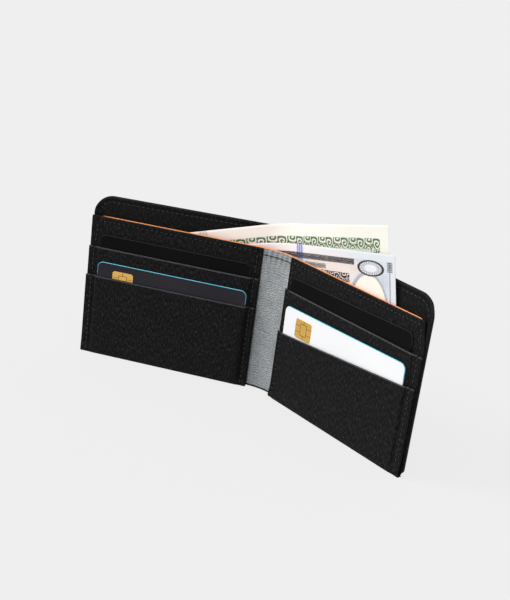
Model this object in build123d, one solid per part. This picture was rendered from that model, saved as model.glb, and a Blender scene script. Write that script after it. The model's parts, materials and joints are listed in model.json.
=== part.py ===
from build123d import *
import math
import os

# Bifold wallet, standing open like a book on its bottom edges.
# Millimetres, +Z up. Origin: middle of the footprint, on the surface it stands on.
#
# Each wing is drawn flat in its own frame and then turned to its place:
#   X  outwards from the inner edge of the card panel, Y  depth behind the panel's front face,
#   Z  height. The fold axis is upright, beyond the panel's inner edge and in front of the pockets.

# ---------------------------------------------------------------- driving dimensions
# fold
REST_OPENING = 144.0        # degrees between the two wings as the wallet stands
FOLD_REACH = 8.0            # fold axis to a panel's inner edge, along the wing
FOLD_CLEARANCE = 0.5        # lower pocket to the fold axis: half the gap of the closed wallet

# card panel
PANEL_WIDTH = 97.0
PANEL_HEIGHT = 80.0
PANEL_THICKNESS = 0.6
PANEL_CORNER = 1.5          # rounding of a panel's outer corners

# pockets on the panel
POCKET_THICKNESS = 0.6
UPPER_POCKET_TOP = 62.8
UPPER_POCKET_FLOOR = 16.0   # height of the seam that an upper card stands on
LOWER_POCKET_FLOOR = 0.9
FLOOR_SEAM_HEIGHT = 1.2     # height of the upper pocket's floor seam
LEFT_POCKET_TOP = (46.4, 46.4)      # lower pocket's mouth, at the inner and the outer side
RIGHT_POCKET_TOP = (38.8, 46.8)     # cut on a slant
INNER_SEAM_WIDTH = 2.6      # seam allowance beside the spine
OUTER_SEAM_WIDTH = 4.0      # seam allowance at the outer side

# bill compartment and cover
DIVIDER_THICKNESS = 0.5
DIVIDER_RISE = 0.7          # the divider's lining stands this far above the panel
COMPARTMENT_GAP = 1.2       # clear depth along the side and bottom seams
MOUTH_GAP = 5.0             # extra depth at the spine end of the compartment's mouth
COMPARTMENT_SEAM_HEIGHT = 2.0
COVER_HEIGHT = 91.5
COVER_OVERHANG = 0.5        # cover beyond the panel's outer edge
COVER_TOP_CORNER = 10.0
COVER_BOTTOM_CORNER = 2.0
COVER_LINING_THICKNESS = 0.5
STIFFENER_THICKNESS = 0.4
STIFFENER_INSET = 5.0
OUTER_COVER_THICKNESS = 0.8

# thread
STITCH_LENGTH = 2.2
STITCH_PITCH = 3.0
STITCH_WIDTH = 0.45
STITCH_HEIGHT = 0.08
STITCH_FLOAT = 0.02         # clear of the cloth, so that the two never share volume
INNER_STITCH_INSET = 1.9
OUTER_STITCH_INSET = 3.4
TOP_STITCH_INSET = 2.6
COVER_STITCH_INSET = 3.2
GUSSET_STITCH_INSET = 3.6
STITCH_FOOT = 3.0           # height of the lowest stitch

# bank cards, ID-1 size
CARD_WIDTH = 85.6
CARD_HEIGHT = 53.98
CARD_THICKNESS = 0.76
CARD_CORNER = 3.18
CARD_CLEARANCE = 0.12       # each side of a card in its slot: more than a stitch stands proud
CARD_SEAT = 0.15            # card above the floor seam of its pocket
CHIP_WIDTH = 12.0
CHIP_HEIGHT = 10.6
CHIP_CORNER = 1.6
CHIP_DEPTH = 0.20           # let into the card's face
CHIP_PROUD = 0.04
CHIP_SIDE_INSET = 9.0       # from the card's left side, seen from the front
CHIP_TOP_INSET = 3.9

# (inner side's distance from the panel's inner edge, lift of the outer end in degrees)
LEFT_UPPER_CARD = (5.2, 0.0)
LEFT_LOWER_CARD = (5.2, 0.0)
RIGHT_UPPER_CARD = (4.8, 1.4)
RIGHT_LOWER_CARD = (4.8, 1.0)

# banknotes
NOTE_LENGTH = 156.0
NOTE_WIDTH = 66.3
NOTE_THICKNESS = 0.11
NOTE_CLEARANCE = 0.30       # divider to the front note, and one note to the next
# (centre from the left panel's inner edge, unfolded; centre height; tilt in degrees)
FRONT_NOTE = (19.1, 52.85, 13.6)
BACK_NOTE = (12.9, 61.35, 16.5)

# ---------------------------------------------------------------- derived places
HALF_TURN = (180.0 - REST_OPENING) / 2
SLOT_DEPTH = CARD_THICKNESS + 2 * CARD_CLEARANCE
UPPER_POCKET_BACK = -SLOT_DEPTH
UPPER_POCKET_FRONT = UPPER_POCKET_BACK - POCKET_THICKNESS
LOWER_POCKET_BACK = UPPER_POCKET_FRONT - SLOT_DEPTH
LOWER_POCKET_FRONT = LOWER_POCKET_BACK - POCKET_THICKNESS
FOLD_DEPTH = FOLD_CLEARANCE - LOWER_POCKET_FRONT        # fold axis to the panel's front face
DIVIDER_BACK = PANEL_THICKNESS + DIVIDER_THICKNESS
COVER_REACH = PANEL_WIDTH + COVER_OVERHANG
COVER_THICKNESS = COVER_LINING_THICKNESS + STIFFENER_THICKNESS + OUTER_COVER_THICKNESS
SPINE_UNFOLDED = 2 * (FOLD_REACH + math.radians(HALF_TURN) * (FOLD_DEPTH + DIVIDER_BACK))

# the gusset is an arc that leaves both panels along their own faces
FOLD_SIN = math.sin(math.radians(HALF_TURN))
FOLD_COS = math.cos(math.radians(HALF_TURN))
PANEL_EDGE_X = FOLD_REACH * FOLD_COS + FOLD_DEPTH * FOLD_SIN
PANEL_EDGE_Y = -FOLD_REACH * FOLD_SIN + FOLD_DEPTH * FOLD_COS
GUSSET_RADIUS = PANEL_EDGE_X / FOLD_SIN
GUSSET_CENTRE_Y = PANEL_EDGE_Y - GUSSET_RADIUS * FOLD_COS

# the fold axis is placed so that the footprint's middle is the origin
FRONT_REACH = FOLD_SIN * (PANEL_WIDTH + FOLD_REACH) - FOLD_COS * FOLD_CLEARANCE
BACK_REACH = FOLD_DEPTH + DIVIDER_BACK + COMPARTMENT_GAP + MOUTH_GAP + COVER_THICKNESS
AXIS_Y = (FRONT_REACH - BACK_REACH) / 2


# ---------------------------------------------------------------- drawing aids
def outline(left, right, bottom, top, top_corner=0.0, bottom_corner=0.0):
    """Rectangle in a wing's X-Z plane with its two outer corners rounded."""
    face = Pos(left, bottom) * Rectangle(right - left, top - bottom, align=(Align.MIN, Align.MIN))
    for height, radius in ((top, top_corner), (bottom, bottom_corner)):
        if radius > 0:
            corner = face.vertices().sort_by_distance((right, height))[0]
            face = fillet(corner, radius)
    return face


def plate(face, front, back):
    """Flat sheet: a face of the X-Z plane carried from one depth to another."""
    return Pos(0, back, 0) * extrude(Plane.XZ * face, back - front)


def block(left, right, front, back, bottom, top):
    """Box given by its limits."""
    size = Box(right - left, back - front, top - bottom, align=(Align.MIN, Align.MIN, Align.MIN))
    return Pos(left, front, bottom) * size


def mouth_depth(x, z):
    """Depth of the cover lining's front face: it swings away towards the spine's top."""
    inward = (COVER_REACH - x) / (COVER_REACH + FOLD_REACH)
    return DIVIDER_BACK + COMPARTMENT_GAP + MOUTH_GAP * inward * z / COVER_HEIGHT


def cover_sheet(face, lift, thickness):
    """Sheet of the cover that follows the open mouth: ruled from its bottom to its top edge."""
    sections = []
    for z in (0.0, COVER_HEIGHT):
        inner = mouth_depth(-FOLD_REACH, z) + lift
        outer = mouth_depth(COVER_REACH, z) + lift
        corners = [
            (-FOLD_REACH, inner, z),
            (COVER_REACH, outer, z),
            (COVER_REACH, outer + thickness, z),
            (-FOLD_REACH, inner + thickness, z),
        ]
        sections.append(make_face(Polyline(corners, close=True)))
    reach = BACK_REACH + COVER_THICKNESS
    return loft(sections, ruled=True) & plate(face, -reach, reach)


def compartment_seam(left, right, bottom, top):
    """Seam allowance that fills the compartment from divider to cover lining."""
    sections = []
    for z in (bottom, top):
        corners = [
            (left, DIVIDER_BACK, z),
            (right, DIVIDER_BACK, z),
            (right, mouth_depth(right, z), z),
            (left, mouth_depth(left, z), z),
        ]
        sections.append(make_face(Polyline(corners, close=True)))
    return loft(sections, ruled=True)


def sector(inner, outer, z, centre_y=0.0):
    """Flat ring sector that spans the fold, its middle towards +Y."""
    def at(radius, turn):
        angle = math.radians(turn)
        return (radius * math.sin(angle), centre_y + radius * math.cos(angle), z)

    far = ThreePointArc(at(outer, -HALF_TURN), at(outer, 0), at(outer, HALF_TURN))
    near = ThreePointArc(at(inner, HALF_TURN), at(inner, 0), at(inner, -HALF_TURN))
    return make_face([far, Line(far @ 1, near @ 0), near, Line(near @ 1, far @ 0)])


def spine_cover_sheet(lift, thickness):
    """The cover between the wings: an arc about the fold axis that widens towards the top."""
    base = FOLD_DEPTH + DIVIDER_BACK + COMPARTMENT_GAP + lift
    bottom = sector(base, base + thickness, 0.0)
    top = sector(base + MOUTH_GAP, base + MOUTH_GAP + thickness, COVER_HEIGHT)
    return loft([bottom, top], ruled=True)


def gusset_sheet(lift, thickness, height):
    """A strip between the two panels' inner edges."""
    inner = GUSSET_RADIUS + lift
    return extrude(sector(inner, inner + thickness, 0.0, GUSSET_CENTRE_Y), height)


def stitch():
    """One stitch: a flat bar along X on a face whose outward side is -Y."""
    return Box(STITCH_LENGTH, STITCH_HEIGHT, STITCH_WIDTH)


def wing_stitches(path, depth_at, slope_at, outward=-1):
    """Stitches spaced along a path in the X-Z plane, leaving out those that straddle a step."""
    count = int(path.length / STITCH_PITCH)
    lift = STITCH_FLOAT + STITCH_HEIGHT / 2
    stitches = []
    for index in range(count):
        middle = (index + 0.5) / count
        reach = 0.5 * STITCH_LENGTH / path.length
        ends = [path @ (middle - reach), path @ (middle + reach)]
        depths = [depth_at(end.X, end.Y) for end in ends]
        if abs(depths[0] - depths[1]) > POCKET_THICKNESS / 2:
            continue
        place = path @ middle
        along = path % middle
        turn = -math.degrees(math.atan2(along.Y, along.X))
        depth = depth_at(place.X, place.Y) + outward * lift
        slope = math.degrees(math.atan(slope_at(place.Y)))
        stitches.append(Pos(place.X, depth, place.Y) * Rot(0, 0, slope) * Rot(0, turn, 0) * stitch())
    return stitches


def arc_stitches(radius, z, centre_y=0.0, outward=-1):
    """Stitches along an arc across the spine."""
    count = max(2, int(math.radians(2 * HALF_TURN) * radius / STITCH_PITCH))
    seat = radius + outward * (STITCH_FLOAT + STITCH_HEIGHT)
    stitches = []
    for index in range(count):
        turn = HALF_TURN * (1 - (2 * index + 1) / count)
        stitches.append(Pos(0, centre_y, z) * Rot(0, 0, turn) * Pos(0, seat, 0) * stitch())
    return stitches


def right_side(shape):
    """Turns a wing drawn flat to its place on the right."""
    return Pos(0, AXIS_Y, 0) * Rot(0, 0, -HALF_TURN) * Pos(FOLD_REACH, FOLD_DEPTH, 0) * shape


def left_side(shape):
    """The same on the left, as a mirror image."""
    return mirror(right_side(shape), about=Plane.YZ)


# ---------------------------------------------------------------- one wing
def pocket_face(mouth):
    """Front of a pocket, from the bottom edge to a mouth given at its inner and outer side."""
    face = outline(0, PANEL_WIDTH, 0, max(mouth) + 1, 0, PANEL_CORNER)
    inner, outer = mouth
    cut = [(0, inner), (PANEL_WIDTH, outer), (PANEL_WIDTH, max(mouth) + 2), (0, max(mouth) + 2)]
    return face - make_face(Polyline(cut, close=True))


def mouth_height(mouth, x):
    """Height of a slanted pocket mouth at a distance from the inner edge."""
    inner, outer = mouth
    return inner + (outer - inner) * x / PANEL_WIDTH


def pocket_seam(mouth, front, back, floor_bottom, floor_top):
    """Seam allowance of a pocket: one bar at each side and the floor between them."""
    bottom = 0.0
    right = PANEL_WIDTH - OUTER_SEAM_WIDTH
    inner_top = mouth_height(mouth, 0) - 0.5
    outer_top = mouth_height(mouth, right) - 0.5
    outer_bar = outline(right, PANEL_WIDTH, bottom, outer_top, 0, PANEL_CORNER)
    return [
        block(0, INNER_SEAM_WIDTH, front, back, bottom, inner_top),
        plate(outer_bar, front, back),
        block(INNER_SEAM_WIDTH, right, front, back, floor_bottom, floor_top),
    ]


def front_depth(lower_mouth, x, z):
    """Depth of the visible front face at a place on the panel."""
    if z < mouth_height(lower_mouth, x):
        return LOWER_POCKET_FRONT
    return UPPER_POCKET_FRONT if z < UPPER_POCKET_TOP else 0.0


def panel_stitching(lower_mouth):
    """Thread down both sides of the panel and under its top edge."""
    outer = PANEL_WIDTH - OUTER_STITCH_INSET
    top = PANEL_HEIGHT - TOP_STITCH_INSET
    rows = [
        Line((INNER_STITCH_INSET, STITCH_FOOT), (INNER_STITCH_INSET, top - STITCH_PITCH)),
        Line((INNER_STITCH_INSET + STITCH_PITCH, top), (outer - STITCH_PITCH, top)),
        Line((outer, top - STITCH_PITCH), (outer, STITCH_FOOT)),
    ]
    stitches = []
    for row in rows:
        stitches += wing_stitches(row, lambda x, z: front_depth(lower_mouth, x, z), lambda z: 0.0)
    return stitches


def cover_border(foot):
    """Line of the thread round the cover, from the spine over the top corner down to a foot."""
    outer = COVER_REACH - COVER_STITCH_INSET
    top = COVER_HEIGHT - COVER_STITCH_INSET
    corner = COVER_TOP_CORNER - COVER_STITCH_INSET
    return FilletPolyline((-FOLD_REACH, top), (outer, top), (outer, foot), radius=corner)


def cover_stitching():
    """Thread round the cover's border: its lining shows it down to the seam, its outside to the foot."""
    def slope(z):
        return -MOUTH_GAP * z / COVER_HEIGHT / (COVER_REACH + FOLD_REACH)

    def back(x, z):
        return mouth_depth(x, z) + COVER_THICKNESS

    inside = wing_stitches(cover_border(PANEL_HEIGHT), mouth_depth, slope)
    return inside + wing_stitches(cover_border(STITCH_FOOT), back, slope, outward=1)


def card(place, front, floor):
    """Card with rounded corners, seated on a floor and lifted a little at its outer end."""
    inner, lift = place
    size = (CARD_WIDTH, CARD_HEIGHT)
    face = RectangleRounded(*size, CARD_CORNER, align=(Align.MIN, Align.MIN))
    face = Pos(inner, floor + CARD_SEAT) * Rot(0, 0, lift) * face
    return plate(face, front, front + CARD_THICKNESS)


def chip(place, front, floor, from_outer_side):
    """Contact plate and its recess, near the left side of the card as it is looked at."""
    inner, lift = place
    along = CARD_WIDTH - CHIP_SIDE_INSET - CHIP_WIDTH / 2 if from_outer_side else CHIP_SIDE_INSET + CHIP_WIDTH / 2
    face = Pos(along, CARD_HEIGHT - CHIP_TOP_INSET - CHIP_HEIGHT / 2) * RectangleRounded(
        CHIP_WIDTH, CHIP_HEIGHT, CHIP_CORNER
    )
    face = Pos(inner, floor + CARD_SEAT) * Rot(0, 0, lift) * face
    return plate(face, front - CHIP_PROUD, front + CHIP_DEPTH)


def wing(side, lower_mouth, upper_card, lower_card):
    """Every piece of one wing, drawn flat: node name to shape."""
    upper_mouth = (UPPER_POCKET_TOP, UPPER_POCKET_TOP)
    cover = outline(-FOLD_REACH, COVER_REACH, 0, COVER_HEIGHT, COVER_TOP_CORNER, COVER_BOTTOM_CORNER)
    board = outline(
        0, COVER_REACH - STIFFENER_INSET, STIFFENER_INSET, COVER_HEIGHT - STIFFENER_INSET,
        COVER_TOP_CORNER - STIFFENER_INSET, COVER_BOTTOM_CORNER,
    )
    panel = outline(0, PANEL_WIDTH, 0, PANEL_HEIGHT, PANEL_CORNER, PANEL_CORNER)
    divider = outline(0, PANEL_WIDTH, 0, PANEL_HEIGHT + DIVIDER_RISE, PANEL_CORNER, PANEL_CORNER)
    seam_start = PANEL_WIDTH - OUTER_SEAM_WIDTH
    seam_top = PANEL_HEIGHT - PANEL_CORNER
    seam_corner = plate(outline(0, PANEL_WIDTH, 0, PANEL_HEIGHT, 0, PANEL_CORNER), 0, BACK_REACH)
    upper_front = -CARD_CLEARANCE - CARD_THICKNESS
    lower_front = UPPER_POCKET_FRONT + upper_front
    lower_chip = chip(lower_card, lower_front, LOWER_POCKET_FLOOR, side == "left")
    shapes = {
        "base_panel": plate(panel, 0, PANEL_THICKNESS),
        "divider_lining": plate(divider, PANEL_THICKNESS, DIVIDER_BACK),
        "upper_pocket": plate(pocket_face(upper_mouth), UPPER_POCKET_FRONT, UPPER_POCKET_BACK),
        "upper_pocket_seam": pocket_seam(
            upper_mouth, UPPER_POCKET_BACK, 0, UPPER_POCKET_FLOOR - FLOOR_SEAM_HEIGHT, UPPER_POCKET_FLOOR
        ),
        "lower_pocket": plate(pocket_face(lower_mouth), LOWER_POCKET_FRONT, LOWER_POCKET_BACK),
        "lower_pocket_seam": pocket_seam(
            lower_mouth, LOWER_POCKET_BACK, UPPER_POCKET_FRONT, 0, LOWER_POCKET_FLOOR
        ),
        "compartment_seam": [
            compartment_seam(seam_start, PANEL_WIDTH, 0, seam_top) & seam_corner,
            compartment_seam(0, seam_start, 0, COMPARTMENT_SEAM_HEIGHT),
        ],
        "cover_lining": cover_sheet(cover, 0, COVER_LINING_THICKNESS),
        "cover_stiffener": cover_sheet(board, COVER_LINING_THICKNESS, STIFFENER_THICKNESS),
        "outer_cover": cover_sheet(
            cover, COVER_LINING_THICKNESS + STIFFENER_THICKNESS, OUTER_COVER_THICKNESS
        ),
        "panel_stitching": panel_stitching(lower_mouth),
        "cover_stitching": cover_stitching(),
        "upper_card": card(upper_card, upper_front, UPPER_POCKET_FLOOR),
        "lower_card": card(lower_card, lower_front, LOWER_POCKET_FLOOR) - lower_chip,
        "lower_card_chip": lower_chip,
    }
    return {f"{side}_{name}": shape for name, shape in shapes.items()}


# ---------------------------------------------------------------- spine
def spine_bottom_seam():
    """Seam allowance that closes the compartment's floor between the two wings."""
    inner = GUSSET_RADIUS + DIVIDER_BACK
    outer = FOLD_DEPTH + DIVIDER_BACK + COMPARTMENT_GAP
    floor = Pos(0, -AXIS_Y, 0) * (right_side(strip_beside_spine()) + left_side(strip_beside_spine()))
    middle = extrude(sector(FOLD_DEPTH, outer, 0.0), COMPARTMENT_SEAM_HEIGHT)
    in_front = extrude(Pos(0, GUSSET_CENTRE_Y) * Circle(inner), COMPARTMENT_SEAM_HEIGHT)
    return (floor + middle) - in_front


def strip_beside_spine():
    """Floor of the compartment from a panel's inner edge to the fold's foot."""
    height = COMPARTMENT_SEAM_HEIGHT
    return block(-FOLD_REACH, 0, 0, DIVIDER_BACK + COMPARTMENT_GAP, 0, height)


def spine():
    """Every piece between the wings, about the fold axis: node name to shape."""
    top = COVER_HEIGHT - COVER_STITCH_INSET
    lining_face = FOLD_DEPTH + mouth_depth(-FOLD_REACH, top)
    gusset_top = PANEL_HEIGHT - GUSSET_STITCH_INSET
    back_lift = COVER_LINING_THICKNESS + STIFFENER_THICKNESS
    return {
        "spine_gusset": gusset_sheet(0, PANEL_THICKNESS, PANEL_HEIGHT),
        "spine_divider_lining": gusset_sheet(
            PANEL_THICKNESS, DIVIDER_THICKNESS, PANEL_HEIGHT + DIVIDER_RISE
        ),
        "spine_cover_lining": spine_cover_sheet(0, COVER_LINING_THICKNESS),
        "spine_cover": spine_cover_sheet(back_lift, OUTER_COVER_THICKNESS),
        "spine_bottom_seam": spine_bottom_seam(),
        "spine_gusset_stitching": arc_stitches(GUSSET_RADIUS, gusset_top, GUSSET_CENTRE_Y),
        "spine_cover_stitching": arc_stitches(lining_face, top)
        + arc_stitches(lining_face + COVER_THICKNESS, top, outward=1),
    }


# ---------------------------------------------------------------- banknotes
def note_height(note, along, edge):
    """Height of a note's bottom (-1) or top (+1) edge at a place along the unfolded wallet."""
    centre, height, tilt = note
    slant = math.radians(tilt)
    return height + (along - centre) * math.tan(slant) + edge * NOTE_WIDTH / 2 / math.cos(slant)


def note_half(note, depth, mirrored):
    """The part of a note that lies in one wing, in that wing's own frame."""
    centre, height, tilt = note
    face = Pos(centre, height) * Rot(0, 0, tilt) * Rectangle(NOTE_LENGTH, NOTE_WIDTH)
    if mirrored:
        face = mirror(face, about=Plane.YZ)
    else:
        face = Pos(-SPINE_UNFOLDED, 0) * face
    kept = Pos(-FOLD_REACH, 0) * Rectangle(2 * NOTE_LENGTH, 4 * NOTE_LENGTH, align=(Align.MIN, Align.CENTER))
    return plate(face & kept, depth, depth + NOTE_THICKNESS)


def note_bend(note, depth):
    """The part of a note that bends round the fold between its two halves."""
    radius = FOLD_DEPTH + depth
    half = radius * FOLD_SIN
    ends = ((-half, FOLD_REACH), (half, SPINE_UNFOLDED - FOLD_REACH))
    bottom = [(x, note_height(note, along, -1)) for x, along in ends]
    top = [(x, note_height(note, along, 1)) for x, along in reversed(ends)]
    ring = extrude(sector(radius, radius + NOTE_THICKNESS, 0.0), 2 * NOTE_LENGTH)
    margin = NOTE_THICKNESS
    slant = (top[0][1] - top[1][1]) / (2 * half) * margin
    corners = [
        (bottom[0][0] - margin, bottom[0][1] - slant),
        (bottom[1][0] + margin, bottom[1][1] + slant),
        (top[0][0] + margin, top[0][1] + slant),
        (top[1][0] - margin, top[1][1] - slant),
    ]
    return ring & plate(make_face(Polyline(corners, close=True)), 0, 2 * radius)


# ---------------------------------------------------------------- the wallet
def wallet():
    """Every node of the wallet in its place: name to shape or list of shapes."""
    nodes = {}
    wings = (
        ("left", left_side, LEFT_POCKET_TOP, LEFT_UPPER_CARD, LEFT_LOWER_CARD),
        ("right", right_side, RIGHT_POCKET_TOP, RIGHT_UPPER_CARD, RIGHT_LOWER_CARD),
    )
    for side, put, mouth, upper_card, lower_card in wings:
        for name, shape in wing(side, mouth, upper_card, lower_card).items():
            pieces = shape if isinstance(shape, list) else [shape]
            nodes[name] = [put(piece) for piece in pieces]
    for name, shape in spine().items():
        pieces = shape if isinstance(shape, list) else [shape]
        nodes[name] = [Pos(0, AXIS_Y, 0) * piece for piece in pieces]
    spacing = NOTE_CLEARANCE + NOTE_THICKNESS
    for name, note, place in (("front_note", FRONT_NOTE, 0), ("back_note", BACK_NOTE, 1)):
        depth = DIVIDER_BACK + NOTE_CLEARANCE + place * spacing
        nodes[f"{name}_left"] = [left_side(note_half(note, depth, True))]
        nodes[f"{name}_right"] = [right_side(note_half(note, depth, False))]
        nodes[f"{name}_bend"] = [Pos(0, AXIS_Y, 0) * note_bend(note, depth)]
    return nodes


os.makedirs("parts", exist_ok=True)
for node, pieces in wallet().items():
    solids = [solid for piece in pieces for solid in piece.solids()]
    shape = solids[0] if len(solids) == 1 else Compound(children=solids)
    export_step(shape, f"parts/{node}.step")

foot = left_side(Pos(PANEL_WIDTH / 2, mouth_depth(PANEL_WIDTH / 2, 0) + COVER_THICKNESS / 2, 0) * Box(1, 1, 1))
print(f"fold axis at x 0, y {AXIS_Y:.4f}; rest turn {2 * HALF_TURN:.3f} degrees")
print(f"foot of the left cover near {foot.center()}")
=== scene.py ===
"""Looks of a bifold wallet in woven cloth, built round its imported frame.

Shapes are worked out in millimetres and put into meshes in metres. Each layer of cloth follows a
SheetPath, which crosses both wings and the spine between them, so a layer is drawn flat, as its
pattern piece is cut, and then laid along the path at its own depth.
"""

import functools
import json
import logging
import math
from collections.abc import Callable
from dataclasses import dataclass
from enum import Enum

import bpy
import numpy as np
from mathutils import Matrix, Vector


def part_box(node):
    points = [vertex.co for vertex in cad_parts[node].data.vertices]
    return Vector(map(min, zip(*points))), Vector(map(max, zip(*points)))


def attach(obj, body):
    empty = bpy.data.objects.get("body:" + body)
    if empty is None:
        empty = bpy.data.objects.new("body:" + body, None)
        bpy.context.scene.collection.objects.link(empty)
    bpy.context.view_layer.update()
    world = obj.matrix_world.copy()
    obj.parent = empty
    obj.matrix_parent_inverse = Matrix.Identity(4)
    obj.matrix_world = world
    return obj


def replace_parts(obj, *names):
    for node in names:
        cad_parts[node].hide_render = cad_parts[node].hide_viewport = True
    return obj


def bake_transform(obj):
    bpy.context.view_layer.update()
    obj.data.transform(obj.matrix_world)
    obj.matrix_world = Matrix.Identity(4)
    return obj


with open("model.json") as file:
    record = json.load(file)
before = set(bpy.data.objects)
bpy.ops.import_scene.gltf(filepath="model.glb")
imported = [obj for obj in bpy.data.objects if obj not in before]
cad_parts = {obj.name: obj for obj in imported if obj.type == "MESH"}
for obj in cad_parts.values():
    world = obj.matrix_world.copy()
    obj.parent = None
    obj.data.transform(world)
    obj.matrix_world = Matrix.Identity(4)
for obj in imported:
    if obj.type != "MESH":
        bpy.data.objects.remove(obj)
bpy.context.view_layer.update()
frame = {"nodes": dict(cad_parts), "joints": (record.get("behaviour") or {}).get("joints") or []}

log = logging.getLogger("wallet")
Array = np.ndarray
Surface = Callable[[Array, Array], Array]
Triple = tuple[float, float, float]
Colour = tuple[float, float, float, float]
Pair = tuple[float, float]
Piece = bpy.types.Object
Tree = bpy.types.NodeTree
Socket = bpy.types.NodeSocket
Sockets = bpy.types.bpy_prop_collection
Inputs = dict[str, object]
Masks = dict[str, Array]

# Metres in a millimetre.
MM = 0.001
# From one stitch to the next, mm.
STITCH_PITCH = 2.75
# Height of the folded allowance along the bottom, mm.
FLOOR_SEAM_TOP = 2.0
# Shift of a card panel's pattern along the cloth, which keeps the weave of one wing from continuing the
# other's, mm.
WEAVE_SHIFT = 200.0


class Side(Enum):
    """A wing of the wallet, with the sign of its X."""

    LEFT = -1
    RIGHT = 1

    @property
    def label(self) -> str:
        """The side's name as CAD nodes and pieces spell it."""
        return self.name.lower()


class Level(Enum):
    """A pocket of a card panel, with the depth of its card's face, mm."""

    UPPER = -0.88
    LOWER = -2.48

    @property
    def label(self) -> str:
        """The pocket's name as CAD nodes and pieces spell it."""
        return self.name.lower()


# ------------ small numpy helpers
def smooth(value: Array, start: float, end: float) -> Array:
    """Smoothstep 3t^2 - 2t^3, t being the share of the way from start to end, held to 0..1."""
    share = np.clip((value - start) / (end - start), 0.0, 1.0)
    return share * share * (3 - 2 * share)


def ridge(value: Array, centre: float, width: float) -> Array:
    """Bell curve exp(-((value - centre) / width)^2)."""
    return np.exp(-(((value - centre) / width) ** 2))


def lines(*stretches: Triple) -> Array:
    """Rising grid lines over neighbouring (start, end, step) stretches, each divided evenly."""
    parts = [np.linspace(a, b, max(2, round((b - a) / step) + 1)) for a, b, step in stretches]
    return np.unique(np.round(np.concatenate(parts), 6))


def mirrored_lines(half: Array) -> Array:
    """Rising grid lines from 0 up, with their negatives before them."""
    return np.concatenate([-half[::-1][:-1], half])


def ripple(run: Array, height: Array, wavelength: float, seed: int) -> Array:
    """Gentle unevenness of handled cloth.

    Args:
        run: position along the cloth, mm.
        height: position up the cloth, mm.
        wavelength: typical distance from crest to crest, mm.
        seed: picks the directions and phases.

    Returns:
        Sum of seven plane sine waves of random direction, length and phase, about -1 to 1.
    """
    dice = np.random.default_rng(seed)
    total = np.zeros(np.broadcast(run, height).shape)
    count = 7
    for _ in range(count):
        turn = dice.uniform(0, math.pi)
        pace = 2 * math.pi / (wavelength * dice.uniform(0.7, 1.6))
        phase = dice.uniform(0, 2 * math.pi)
        total += np.sin(pace * (run * math.cos(turn) + height * math.sin(turn)) + phase)
    return total / math.sqrt(count) / 1.5


# ------------ shapes
@dataclass(frozen=True)
class SheetPath:
    """Line that a layer follows over both wings, seen from above.

    Attributes:
        arc_radius: radius of the spine's arc at depth 0, mm.
        pitch_radius: radius at which lengths along the arc are counted, mm.
        centre_y: Y of the arc's centre, mm.
        reach: from the end of the arc to the inner edge of a card panel, mm.
        half_turn: angle of each wing to the X axis, radians.
    """

    arc_radius: float
    pitch_radius: float
    centre_y: float
    reach: float
    half_turn: float

    @property
    def half_arc(self) -> float:
        """Length of half of the spine's arc."""
        return self.pitch_radius * self.half_turn

    def run(self, side: Side, x: float) -> float:
        """Signed length along the path of a wing's own x."""
        return side.value * (self.half_arc + self.reach + x)

    def wing_x(self, run: Array) -> Array:
        """Distance beyond a panel's inner edge; on the arc it stays at -reach."""
        return np.maximum(np.abs(run) - self.half_arc, 0.0) - self.reach

    def place(self, run: Array, depth: Array, height: Array) -> Array:
        """Points of a layer in the row frame.

        On the arc a point turns by run / pitch_radius at arc_radius + depth from the centre. Past
        its end it goes straight on along the wing.

        Args:
            run: signed length along the path, mm.
            depth: distance behind the front face of the card panels, mm.
            height: Z, mm.

        Returns:
            Array with a last axis of X, Y, Z in mm.
        """
        turn = np.clip(run / self.pitch_radius, -self.half_turn, self.half_turn)
        past = np.maximum(np.abs(run) - self.half_arc, 0.0)
        radius = self.arc_radius + depth
        x = radius * np.sin(turn) + np.sign(run) * past * math.cos(self.half_turn)
        y = self.centre_y + radius * np.cos(turn) - past * math.sin(self.half_turn)
        return np.stack(np.broadcast_arrays(x, y, height), axis=-1)

    def layer(
        self, run: Array, height: Array, depths: tuple, masks: Masks, rim: float, steps: int = 4
    ) -> "Shell":
        """A closed layer along the path, with its own run and height as its pattern piece.

        Args:
            run: rows x columns lengths along the path, mm.
            height: rows x columns heights, mm.
            depths: of its front and of its back, mm.
            masks: rows x columns values by name.
            rim: how far its rim bulges, mm.
            steps: faces across the rim.

        Returns:
            The closed shell.
        """
        front, back = (self.place(run, depth, height) for depth in depths)
        return closed_sheet(front, back, np.stack([run, height], axis=-1), masks, rim, steps)


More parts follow.
